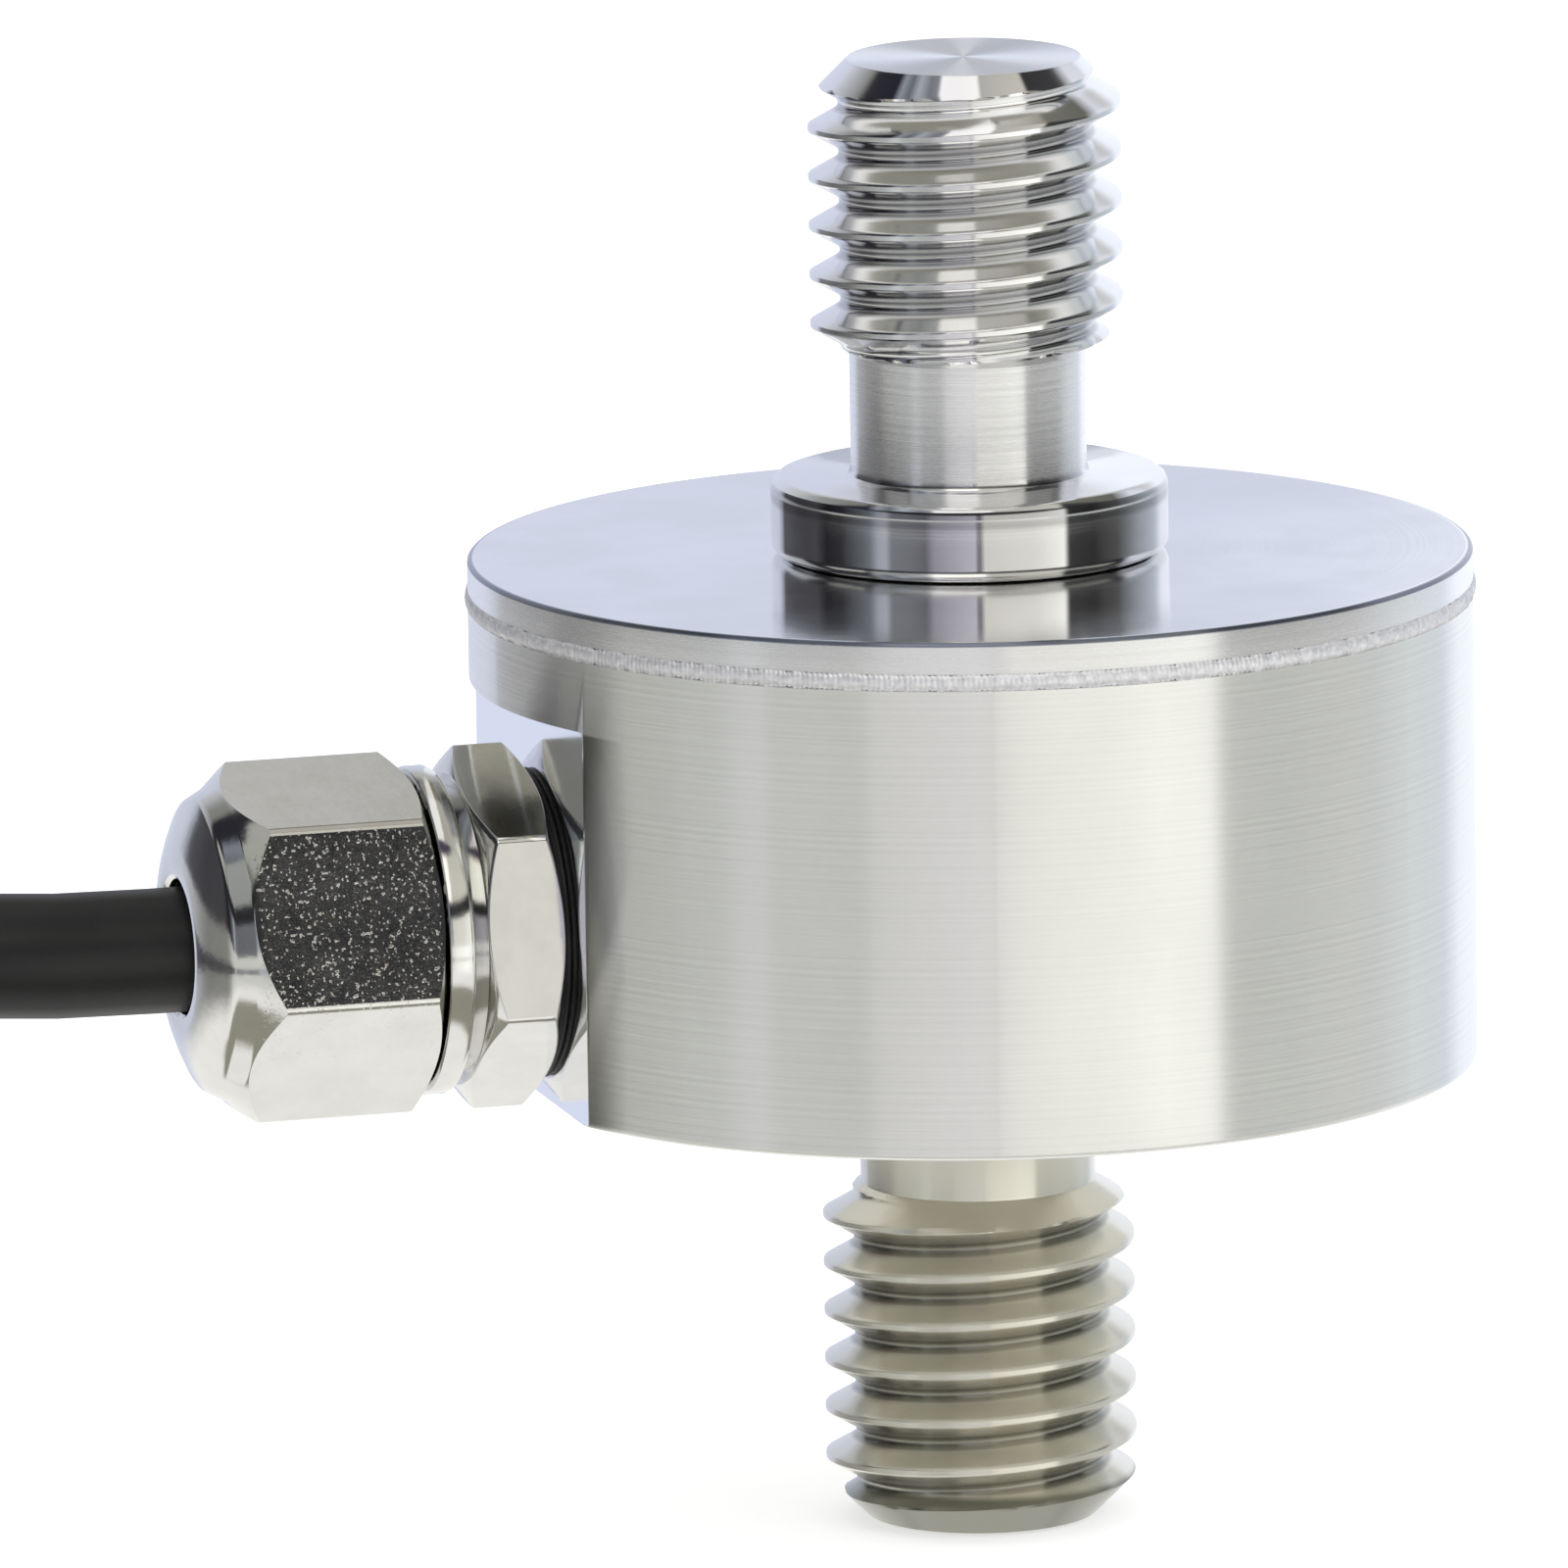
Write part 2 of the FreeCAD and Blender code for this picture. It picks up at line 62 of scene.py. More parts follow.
# The sensing element inside the upper member, and the cup that it stands in
HUB_RADIUS = 3.2
HUB_END = 21.9
DIAPHRAGM = 23.4
ROOT_CHAMFER = 0.3
SPIGOT_INNER = 7.6
SPIGOT_RADIUS = 9.15
SPIGOT_END = 21.8
CAVITY_RADIUS = 9.2
LEDGE_RADIUS = 8.4
LEDGE_LEVEL = 18.9
FLOOR_LEVEL = 13.3
BOSS_RADIUS = 4.2
BOSS_TOP = 14.3

# The gland, with its lengths counted outwards from the flat
FLAT_X = -11.6
FLAT_LEDGE = 21.8
GLAND_Z = 16.0
HOLE_RADIUS = 2.53
HEX_CORNER = 4.619
HEX_TURNED = 4.64
HEX_FACE = 3.95
GASKET_RADIUS = 3.91
UNION_START = 0.17
UNION_END = 2.17
UNION_CHAMFER = 0.4
GROOVE_RADIUS = 3.6
GROOVE_END = 2.51
UNION_COLLAR = 4.15
UNION_COLLAR_END = 3.21
STUB_RADIUS = 2.5
STUB_START = -2.7
NUT_THREAD = 3.05
NUT_THREAD_END = 6.65
SEAL_SEAT = 4.95
BORE = 1.65
NUT_START = 3.27
NUT_HEX_END = 8.17
NUT_DOME_RADIUS = 3.97
NUT_END = 9.25
NUT_BORE = 1.72
NUT_SHOULDER = 7.35
NUT_INSIDE = 3.08
UNION_ROLL = 9.0
NUT_ROLL = 18.0
GLAND_STEPS = 144


# Camera

LENS_MM = 531.82
SENSOR_MM = 36.0
CAMERA_PLACE = Vector((-158.430, -552.510, 132.055)) * MM
CAMERA_AIM = Vector((-4.893, 0.235, 19.047)) * MM
CAMERA_ROLL = math.radians(0.852)


def make_camera():
    """The photograph's view: 16 degrees round from the front towards the gland, and a long lens."""
    data = bpy.data.cameras.new("camera")
    camera = bpy.data.objects.new("camera", data)
    bpy.context.scene.collection.objects.link(camera)
    data.lens = LENS_MM
    data.sensor_width = SENSOR_MM
    look = (CAMERA_AIM - CAMERA_PLACE).normalized()
    roll = Quaternion(look, CAMERA_ROLL)
    camera.location = CAMERA_PLACE
    camera.rotation_mode = "QUATERNION"
    camera.rotation_quaternion = roll @ look.to_track_quat("-Z", "Y")
    data.clip_start = 0.05
    data.clip_end = 20.0
    bpy.context.scene.camera = camera


# Small tools

def chosen(piece):
    """Makes the piece the only one selected, and the active one."""
    if bpy.context.object is not None and bpy.context.object.mode == "EDIT":
        bpy.ops.object.mode_set(mode="OBJECT")
    bpy.ops.object.select_all(action="DESELECT")
    piece.select_set(True)
    bpy.context.view_layer.objects.active = piece


def named(name):
    """Names the piece just made and its mesh."""
    piece = bpy.context.object
    piece.name = name
    piece.data.name = name
    return piece


def settle(piece):
    """Puts the piece's place and turn into its mesh."""
    chosen(piece)
    bpy.ops.object.transform_apply(location=True, rotation=True, scale=True)


def mesh_tool(piece, *steps):
    """Runs edit mode operators on the whole mesh."""
    chosen(piece)
    bpy.ops.object.mode_set(mode="EDIT")
    bpy.ops.mesh.select_all(action="SELECT")
    for step in steps:
        step()
    bpy.ops.object.mode_set(mode="OBJECT")


def merge_doubles(piece, distance=2e-7):
    """Joins points at one place and turns all faces outwards."""
    mesh_tool(
        piece,
        lambda: bpy.ops.mesh.remove_doubles(threshold=distance),
        lambda: bpy.ops.mesh.normals_make_consistent(inside=False),
    )


def applied(piece, kind, **settings):
    """Adds a modifier with its settings and applies it."""
    chosen(piece)
    modifier = piece.modifiers.new(kind.lower(), kind)
    for key, value in settings.items():
        setattr(modifier, key, value)
    bpy.ops.object.modifier_apply(modifier=modifier.name)


def cut(piece, tool, operation="DIFFERENCE"):
    """Cuts the piece with a tool, or joins them, and takes the tool away."""
    applied(piece, "BOOLEAN", object=tool, operation=operation, solver="EXACT")
    bpy.data.objects.remove(tool, do_unlink=True)


def smooth(piece, degrees=30.0):
    """Smooth shading, with a crease at every edge sharper than the angle."""
    chosen(piece)
    bpy.ops.object.shade_smooth_by_angle(angle=math.radians(degrees))


def smooth_machined(piece, degrees=30.0):
    """Smooth shading that keeps the broad faces flat beside their small broken edges."""
    smooth(piece, degrees)
    applied(piece, "WEIGHTED_NORMAL", mode="FACE_AREA", weight=80, keep_sharp=True)


def drawn(name, points):
    """An outline in the XZ plane, drawn from point to point."""
    bpy.ops.object.select_all(action="DESELECT")
    r, z = points[0]
    bpy.ops.mesh.primitive_plane_add(size=MM, location=(r * MM, 0, z * MM))
    piece = named(name)
    settle(piece)
    bpy.ops.object.mode_set(mode="EDIT")
    bpy.ops.mesh.select_mode(type="VERT")
    bpy.ops.mesh.select_all(action="SELECT")
    bpy.ops.mesh.merge(type="CENTER")
    for (r0, z0), (r1, z1) in zip(points, points[1:]):
        step = ((r1 - r0) * MM, 0, (z1 - z0) * MM)
        bpy.ops.mesh.extrude_vertices_move(TRANSFORM_OT_translate={"value": step})
    bpy.ops.object.mode_set(mode="OBJECT")
    return piece


def turned(name, points, steps=96):
    """A piece turned about Z from an outline of (radius, height) points."""
    piece = drawn(name, points)
    applied(
        piece,
        "SCREW",
        axis="Z",
        angle=math.tau,
        steps=steps,
        render_steps=steps,
        use_merge_vertices=False,
    )
    merge_doubles(piece)
    return piece


def along_gland(piece):
    """Lays a piece made on Z, counted outwards from the flat, on the gland's axis."""
    piece.rotation_euler = (0, math.radians(-90), 0)
    piece.location = (FLAT_X * MM, 0, GLAND_Z * MM)
    settle(piece)
    return piece


def ring_at(piece, level):
    """Selects the open ring of edges at a height, in edit mode."""
    bpy.ops.mesh.select_mode(type="EDGE")
    bpy.ops.mesh.select_all(action="DESELECT")
    shape = bmesh.from_edit_mesh(piece.data)
    for edge in shape.edges:
        if edge.is_boundary and all(abs(v.co.z - level * MM) < 1e-6 for v in edge.verts):
            edge.select_set(True)
    bmesh.update_edit_mesh(piece.data)


def grow(outline):
    """Extrudes the selected ring of edges from point to point of an outline."""
    for (r0, z0), (r1, z1) in zip(outline, outline[1:]):
        bpy.ops.mesh.extrude_edges_move(TRANSFORM_OT_translate={"value": (0, 0, (z1 - z0) * MM)})
        size = r1 / r0
        bpy.ops.transform.resize(value=(size, size, 1), center_override=(0, 0, z1 * MM))
    if outline[-1][0] < 0.01:
        bpy.ops.mesh.merge(type="CENTER")


# Threaded members

def thread_outline():
    """One pitch of the thread, from root to root, in small steps that a chamfer can follow."""
    rounded_root = [(ROOT, PITCH / 2), (ROOT + 0.005, 0.585), (ROOT + 0.025, 0.535), (ROOT + 0.1, 0.465)]
    foot = rounded_root[-1]
    head = (CREST - 0.02, 0.088)
    steps = 6
    flank = [tuple(a + (b - a) * k / steps for a, b in zip(foot, head)) for k in range(1, steps)]
    upper = rounded_root + flank + [head, (CREST, 0.06)]
    return [(r, -z) for r, z in upper] + upper[::-1]


def threaded(name, low, high, crest_level, limits):
    """A threaded length from low to high, turned down to the limits, (height, radius) points."""
    start = crest_level - PITCH * math.ceil((crest_level - low) / PITCH + 1.0)
    turns = math.ceil((high - start) / PITCH) + 1
    piece = drawn(name, [(r, start + z) for r, z in thread_outline()])
    applied(
        piece,
        "SCREW",
        axis="Z",
        angle=math.tau,
        screw_offset=PITCH * MM,
        iterations=turns,
        steps=STUD_STEPS,
        render_steps=STUD_STEPS,
        use_merge_vertices=False,
    )

    def trim(level, **side):
        bpy.ops.mesh.select_all(action="SELECT")
        bpy.ops.mesh.bisect(plane_co=(0, 0, level * MM), plane_no=(0, 0, 1), threshold=1e-7, **side)

    mesh_tool(
        piece,
        lambda: bpy.ops.mesh.remove_doubles(threshold=2e-7),
        lambda: trim(low, clear_inner=True),
        lambda: trim(high, clear_outer=True),
    )
    for vertex in piece.data.vertices:
        x, y, z = vertex.co
        radius = math.hypot(x, y)
        most = limit_at(limits, z / MM) * MM
        if radius > most:
            vertex.co.x = x * most / radius
            vertex.co.y = y * most / radius
    return piece


def limit_at(limits, z):
    """The radius that the limits leave at a height."""
    for (z0, r0), (z1, r1) in zip(limits, limits[1:]):
        if z0 <= z <= z1:
            return r0 + (r1 - r0) * (z - z0) / (z1 - z0)
    return limits[0][1] if z < limits[0][0] else limits[-1][1]


def finished_turning(piece, starts):
    """Grows the stud's open rings along their outlines into the rest of the piece."""
    chosen(piece)
    bpy.ops.object.mode_set(mode="EDIT")
    for outline in starts:
        ring_at(piece, outline[0][1])
        grow(outline)
    bpy.ops.mesh.select_all(action="SELECT")
    bpy.ops.mesh.remove_doubles(threshold=1e-7)
    bpy.ops.mesh.normals_make_consistent(inside=False)
    bpy.ops.object.mode_set(mode="OBJECT")


def end_face(level):
    """The outline from the edge of a stud's end to its middle."""
    return [(CREST - STUD_CHAMFER, level), (2.0, level), (1.0, level), (0.0, level)]


def upper_member():
    """Upper stud, neck, collar and top disc, and the diaphragm, hub and spigot under it."""
    limits = [
        (STUD_BASE, NECK),
        (STUD_BASE + 0.55, CREST),
        (TOTAL - STUD_CHAMFER, CREST),
        (TOTAL, CREST - STUD_CHAMFER),
    ]
    piece = threaded("threaded_upper_member", STUD_BASE, TOTAL, 0.09, limits)
    body = [
        (NECK, STUD_BASE),
        (NECK, COLLAR_TOP + 1.4),
        (NECK, COLLAR_TOP + 0.2),
        (NECK + 0.06, COLLAR_TOP + 0.06),
        (NECK + 0.2, COLLAR_TOP),
        (COLLAR_RADIUS - 0.32, COLLAR_TOP),
        (COLLAR_RADIUS - 0.18, COLLAR_TOP - 0.04),
        (COLLAR_RADIUS - 0.05, COLLAR_TOP - 0.15),
        (COLLAR_RADIUS, COLLAR_TOP - 0.3),
        (COLLAR_RADIUS, COLLAR_TOP - 0.38),
        (COLLAR_RADIUS, BODY_TOP + 0.38),
        (COLLAR_RADIUS, BODY_TOP + 0.3),
        (COLLAR_RADIUS - 0.04, BODY_TOP + 0.18),
        (COLLAR_RADIUS - 0.16, BODY_TOP + 0.06),
        (COLLAR_RADIUS - 0.32, BODY_TOP),
        (7.0, BODY_TOP),
        (10.0, BODY_TOP),
        (BODY_RADIUS - 0.2, BODY_TOP),
        (BODY_RADIUS - 0.14, BODY_TOP),
        (BODY_RADIUS - 0.07, BODY_TOP - 0.015),
        (BODY_RADIUS - 0.01, BODY_TOP - 0.07),
        (BODY_RADIUS, BODY_TOP - 0.14),
        (BODY_RADIUS, SEAM + 0.22),
        (SEAM_BOTTOM, SEAM),
        (SPIGOT_RADIUS, SEAM),
        (SPIGOT_RADIUS, SPIGOT_END),
        (SPIGOT_INNER, SPIGOT_END),
        (SPIGOT_INNER, DIAPHRAGM - ROOT_CHAMFER),
        (SPIGOT_INNER - ROOT_CHAMFER, DIAPHRAGM),
        (HUB_RADIUS + ROOT_CHAMFER, DIAPHRAGM),
        (HUB_RADIUS, DIAPHRAGM - ROOT_CHAMFER),
        (HUB_RADIUS, HUB_END),
        (0.0, HUB_END),
    ]
    finished_turning(piece, [end_face(TOTAL), body])
    smooth_machined(piece, 28)
    return piece


def cup_housing():
    """Lower stud, neck and cup, with the milled flat and the hole for the gland."""
    limits = [
        (0.0, CREST - STUD_CHAMFER),
        (STUD_CHAMFER, CREST),
        (LOWER_THREAD - 0.6, CREST),
        (LOWER_THREAD, NECK),
    ]
    piece = threaded("threaded_cup_housing", 0.0, LOWER_THREAD, 0.925, limits)
    body = [
        (NECK, LOWER_THREAD),
        (NECK, BODY_BASE - 0.2),
        (NECK + 0.06, BODY_BASE - 0.06),
        (NECK + 0.2, BODY_BASE),
        (BODY_RADIUS - 0.2, BODY_BASE),
        (BODY_RADIUS - 0.1, BODY_BASE + 0.02),
        (BODY_RADIUS - 0.02, BODY_BASE + 0.09),
        (BODY_RADIUS, BODY_BASE + 0.18),
        (BODY_RADIUS, SEAM - 0.22),
        (SEAM_BOTTOM, SEAM),
        (CAVITY_RADIUS, SEAM),
        (CAVITY_RADIUS, LEDGE_LEVEL),
        (LEDGE_RADIUS, LEDGE_LEVEL),
        (LEDGE_RADIUS, FLOOR_LEVEL),
        (BOSS_RADIUS, FLOOR_LEVEL),
        (BOSS_RADIUS, BOSS_TOP),
        (0.0, BOSS_TOP),
    ]
    finished_turning(piece, [end_face(0.0), body])
    cut(piece, mill())
    cut(piece, drill())
    merge_doubles(piece)
    smooth_machined(piece, 28)
    return piece


def mill():
    """The block that the flat takes away, from under the body up to the ledge."""
    length = 12.0
    bottom = BODY_BASE - 1.0
    bpy.ops.object.select_all(action="DESELECT")
    bpy.ops.mesh.primitive_cube_add(size=MM)
    tool = named("mill")
    tool.scale = (length, 2.2 * BODY_RADIUS, FLAT_LEDGE - bottom)
    tool.location = ((FLAT_X - length / 2) * MM, 0, (FLAT_LEDGE + bottom) / 2 * MM)
    settle(tool)
    return tool


def drill():
    """The hole for the gland's stub, from outside the flat into the cavity."""
    bpy.ops.object.select_all(action="DESELECT")
    bpy.ops.mesh.primitive_cylinder_add(vertices=64, radius=HOLE_RADIUS * MM, depth=8 * MM)
    tool = named("drill")
    tool.rotation_euler = (0, math.radians(90), 0)
    tool.location = ((FLAT_X + 0.6) * MM, 0, GLAND_Z * MM)
    settle(tool)
    return tool


def weld_bead():
    """The bead that closes the seam, with its fine ripples and uneven edges."""
    upper = [
        (SEAM_BOTTOM, 0.0),
        (BODY_RADIUS - 0.02, BEAD_HALF_WIDTH),
        (BODY_RADIUS + 0.02, 0.17),
        (BODY_RADIUS + 0.045, 0.1),
    ]
    outline = upper + [(BODY_RADIUS + 0.055, 0.0)] + [(r, -z) for r, z in reversed(upper)]
    piece = turned("rippled_weld_bead", [(r, SEAM + z) for r, z in outline], 1840)
    ripples = 613
    for vertex in piece.data.vertices:
        x, y, z = (c / MM for c in vertex.co)
        radius = math.hypot(x, y)
        if radius < BODY_RADIUS - 0.1:
            continue
        way = math.atan2(y, x)
        across = (z - SEAM) / BEAD_HALF_WIDTH
        wander = noise.noise(Vector((x * 2.6, y * 2.6, 3.0)))
        grain = noise.noise(Vector((x * 7.0, y * 7.0, z * 7.0)))
        ripple = math.sin(way * ripples + 1.6 * across * across + 2.0 * wander)
        lift = 0.012 * ripple * (1 - 0.6 * across * across) + 0.016 * grain
        radius += lift
        edge = 0.05 * noise.noise(Vector((x * 3.4, y * 3.4, 9.0))) + 0.02 * ripple
        z += edge * across
        vertex.co = Vector((radius * math.cos(way), radius * math.sin(way), z)) * MM
    smooth(piece, 60)
    return piece


# Gland

def hexagon_bar(length, start, roll, rounding):
    """A hexagonal bar on Z with rounded corners, for a turned blank to be cut with."""
    bpy.ops.object.select_all(action="DESELECT")
    bpy.ops.mesh.primitive_cylinder_add(
        vertices=6,
        radius=HEX_CORNER * MM,
        depth=length * MM,
        location=(0, 0, (start + length / 2) * MM),
        rotation=(0, 0, math.radians(roll - 90)),
    )
    bar = named("bar")
    settle(bar)
    bpy.ops.object.mode_set(mode="EDIT")
    bpy.ops.mesh.select_mode(type="EDGE")
    bpy.ops.mesh.select_all(action="DESELECT")
    shape = bmesh.from_edit_mesh(bar.data)
    for edge in shape.edges:
        a, b = edge.verts
        if abs(a.co.z - b.co.z) > length * MM * 0.9:
            edge.select_set(True)
    bmesh.update_edit_mesh(bar.data)
    bpy.ops.mesh.bevel(offset=rounding * MM, segments=4, profile=0.5)
    bpy.ops.object.mode_set(mode="OBJECT")
    return bar


def broken_edges(piece, width, degrees=24.0):
    """Rounds the sharp edges a little, as plating and tumbling leave them."""
    applied(
        piece,
        "BEVEL",
        width=width * MM,
        segments=2,
        limit_method="ANGLE",
        angle_limit=math.radians(degrees),
        miter_outer="MITER_ARC",
        use_clamp_overlap=True,
    )


def gland_body():
    """The union: hexagon, groove, round collar, stub and the thread for the nut."""
    head = turned(
        "union_with_collar",
        [
            (0.0, UNION_START),
            (HEX_FACE, UNION_START),
            (HEX_TURNED, UNION_START + UNION_CHAMFER),
            (HEX_TURNED, UNION_END - UNION_CHAMFER),
            (HEX_FACE, UNION_END),
            (0.0, UNION_END),
        ],
        GLAND_STEPS,
    )
    cut(head, hexagon_bar(UNION_END + 0.23, 0.0, UNION_ROLL, 0.12), "INTERSECT")
    broken_edges(head, 0.035)
    shank = turned(
        "shank",
        [
            (BORE, STUB_START),
            (STUB_RADIUS - 0.3, STUB_START),
            (STUB_RADIUS, STUB_START + 0.3),
            (STUB_RADIUS, 0.5),
            (GROOVE_RADIUS, 0.7),
            (GROOVE_RADIUS, GROOVE_END - 0.09),
            (GROOVE_RADIUS + 0.03, GROOVE_END - 0.03),
            (GROOVE_RADIUS + 0.1, GROOVE_END),
            (UNION_COLLAR - 0.15, GROOVE_END),
            (UNION_COLLAR - 0.05, GROOVE_END + 0.04),
            (UNION_COLLAR, GROOVE_END + 0.15),
            (UNION_COLLAR, UNION_COLLAR_END - 0.17),
            (UNION_COLLAR - 0.03, UNION_COLLAR_END - 0.05),
            (UNION_COLLAR - 0.13, UNION_COLLAR_END),
            (NUT_THREAD, UNION_COLLAR_END),
            (NUT_THREAD, NUT_THREAD_END),
            (STUB_RADIUS, NUT_THREAD_END),
            (STUB_RADIUS, SEAL_SEAT),
            (BORE, SEAL_SEAT - 0.85),
            (BORE, STUB_START),
        ],
        GLAND_STEPS,
    )
    bore = turned("bore", [(0.0, -4.0), (2.2, -4.0), (2.2, 5.0), (0.0, 5.0)], 64)
    cut(head, bore)
    cut(head, shank, "UNION")
    merge_doubles(head, 1e-7)
    piece = along_gland(head)
    smooth_machined(piece, 30)
    return piece


def compression_nut():
    """The domed nut, hollow inside, with a rounded mouth for the cable."""
    outline = [
        (0.0, NUT_START),
        (4.0, NUT_START),
        (HEX_TURNED, NUT_START + 0.37),
        (HEX_TURNED, NUT_HEX_END - 0.71),
        (NUT_DOME_RADIUS + 0.02, NUT_HEX_END - 0.03),
        (NUT_DOME_RADIUS, NUT_HEX_END),
        (3.75, NUT_HEX_END + 0.4),
        (3.7, NUT_HEX_END + 0.48),
        (3.6, NUT_HEX_END + 0.55),
        (3.45, NUT_HEX_END + 0.62),
        (3.2, NUT_END - 0.34),
        (2.85, NUT_END - 0.2),
        (2.5, NUT_END - 0.09),
        (2.2, NUT_END - 0.02),
        (1.98, NUT_END),
        (1.82, NUT_END - 0.03),
        (NUT_BORE, NUT_END - 0.13),
        (0.0, NUT_END - 0.13),
    ]
    piece = turned("domed_compression_nut", outline, GLAND_STEPS)
    cut(piece, hexagon_bar(7.0, 3.0, NUT_ROLL, 0.15), "INTERSECT")
    broken_edges(piece, 0.05)
    hollow = [
        (0.0, NUT_START - 0.77),
        (NUT_INSIDE, NUT_START - 0.77),
        (NUT_INSIDE, NUT_SHOULDER),
        (NUT_BORE, NUT_SHOULDER),
        (NUT_BORE, NUT_END + 0.15),
        (0.0, NUT_END + 0.15),
    ]
    cut(piece, turned("inside", hollow, 96))
    merge_doubles(piece, 1e-7)
    piece = along_gland(piece)
    smooth_machined(piece, 30)
    return piece


def gland_gasket():
    """The thin ring between the flat and the union."""
    outline = [
        (HOLE_RADIUS, 0.0),
        (GASKET_RADIUS - 0.07, 0.0),
        (GASKET_RADIUS - 0.02, 0.03),
        (GASKET_RADIUS, 0.07),
        (GASKET_RADIUS - 0.02, 0.12),
        (GASKET_RADIUS - 0.07, UNION_START),
        (HOLE_RADIUS, UNION_START),
        (HOLE_RADIUS, 0.0),
    ]
    piece = turned("pressed_gasket", outline, 96)
    smooth(piece, 40)
    return along_gland(piece)


# Cable

CABLE_RADIUS = 1.6
LEAD_RADIUS = 0.5
LEAD_RING = 0.95
STRAND_RADIUS = 0.094
STRAND_RING = 0.185
COIL_X = -62.0
COIL_Y = -16.0
COIL_OUTER = 25.9
COIL_INNER = 12.8
COIL_LAYERS = 6
LAYER_TURNS = 4
COIL_SIDE = COIL_Y + COIL_OUTER
TOP_TURN = (2 * COIL_LAYERS - 1) * CABLE_RADIUS
CABLE_END = Vector((COIL_X - 31.5, COIL_Y + 3.0, 1.95))
BEFORE_END = Vector((COIL_X - 28.5, COIL_Y + 13.0, 1.95))


def smooth_lines(name, lines, radius, along, around):
    """Round cords, one on each smooth line with the given control points, in millimetres."""
    data = bpy.data.curves.new(name, "CURVE")
    data.dimensions = "3D"
    for points in lines:
        spline = data.splines.new("NURBS")
        spline.points.add(len(points) - 1)
        for spot, place in zip(spline.points, points):
            spot.co = (place[0] * MM, place[1] * MM, place[2] * MM, 1.0)
        spline.order_u = 3
        spline.use_endpoint_u = True
    data.resolution_u = along
    data.render_resolution_u = along
    data.bevel_depth = radius * MM
    data.bevel_resolution = around
    data.use_fill_caps = True
    piece = bpy.data.objects.new(name, data)
    bpy.context.scene.collection.objects.link(piece)
    return piece


def coil_points():
    """The put-away cable: flat layers of turns, outer to inner and back, top layer first."""
    places = []
    per_turn = 16
    climb = 0.5
    # a smooth line runs a little inside its control points
    swell = 1 / (0.75 + 0.25 * math.cos(math.tau / per_turn))
    count = COIL_LAYERS * LAYER_TURNS * per_turn
    for k in range(1, count):
        turn = k / per_turn
        layer = min(int(turn / LAYER_TURNS), COIL_LAYERS - 1)
        share = turn / LAYER_TURNS - layer
        inward = share if layer % 2 == 0 else 1 - share
        radius = (COIL_OUTER + (COIL_INNER - COIL_OUTER) * inward) * swell
        level = (2 * (COIL_LAYERS - layer) - 1) * CABLE_RADIUS
        # the last half turn of a layer and the first of the next share the step down
        left = (1 - share) * LAYER_TURNS
        if layer < COIL_LAYERS - 1 and left < climb:
            level -= CABLE_RADIUS * (1 - left / climb) ** 2
        begun = share * LAYER_TURNS
        if layer > 0 and begun < climb:
            level += CABLE_RADIUS * (1 - begun / climb) ** 2
        way = math.radians(90 + 360 * turn)
        places.append((COIL_X + radius * math.cos(way), COIL_Y + radius * math.sin(way), level))
    return places


def cable_points():
    """The whole line of the cable, from inside the cell to its far end."""
    outside = [
        (-8.0, 0, GLAND_Z),
        (-20.0, 0, GLAND_Z - 0.14),
        (-28.0, 0, GLAND_Z + 0.1),
        (-44.0, COIL_SIDE, TOP_TURN),
        (COIL_X, COIL_SIDE, TOP_TURN),
    ]
    tail = [
        (COIL_X, COIL_SIDE, CABLE_RADIUS),
        (COIL_X - 10.0, COIL_SIDE, CABLE_RADIUS),
        (COIL_X - 20.5, COIL_Y + 21.5, CABLE_RADIUS),
        tuple(BEFORE_END),
        tuple(CABLE_END),
    ]
    return outside + coil_points() + tail


# Each lead's node, angle in the bundle, place in the fan, two colours and slot
LEADS = [
    ("lead_red", 162, -2, (0.42, 0.02, 0.02), (0.55, 0.03, 0.03), "red_insulation"),
    ("lead_black", 234, -1, (0.015, 0.015, 0.015), (0.03, 0.03, 0.03), "black_insulation"),
    ("lead_shield", 90, 0, (0.75, 0.52, 0.04), (0.85, 0.62, 0.06), "yellow_insulation"),
    ("lead_green", 306, 1, (0.02, 0.22, 0.06), (0.03, 0.32, 0.09), "green_insulation"),
    ("lead_white", 18, 2, (0.72, 0.72, 0.70), (0.82, 0.82, 0.80), "white_insulation"),
]


def lead_points(bundle_angle, place):
    """The line of one lead, from its place in the bundle to its end on the ground."""
    start = CABLE_END
    way = (start - BEFORE_END).normalized()
    side = Vector((way.y, -way.x, 0))
    turn = math.radians(bundle_angle)
    inside = side * (LEAD_RING * math.cos(turn)) + Vector((0, 0, LEAD_RING * math.sin(turn)))
    drop = Vector((0, 0, LEAD_RADIUS - CABLE_END.z))
    reach = 22.0 - abs(place)
    return [
        start + inside,
        start + inside + way * 4.0,
        start + way * (0.55 * reach) + side * (place * 1.8 - 1.2) + drop,
        start + way * reach + side * (place * 3.0 - 6.0) + drop,
    ]


def stranded_end(name, points):
    """Seven twisted strands that come out of a lead's insulation."""
    last = (points[-1] - points[-2]).normalized()
    side = last.cross(Vector((0, 0, 1))).normalized()
    over = side.cross(last)
    lines = []
    for strand in range(7):
        out = 0.0 if strand == 6 else STRAND_RING
        line = []
        for n in range(12):
            turn = math.radians(60 * strand + 42 * n)
            centre = points[-1] + last * (0.5 * n - 0.5)
            line.append(centre + side * (out * math.cos(turn)) + over * (out * math.sin(turn)))
        lines.append(line)
    return smooth_lines(name, lines, STRAND_RADIUS, 3, 1)


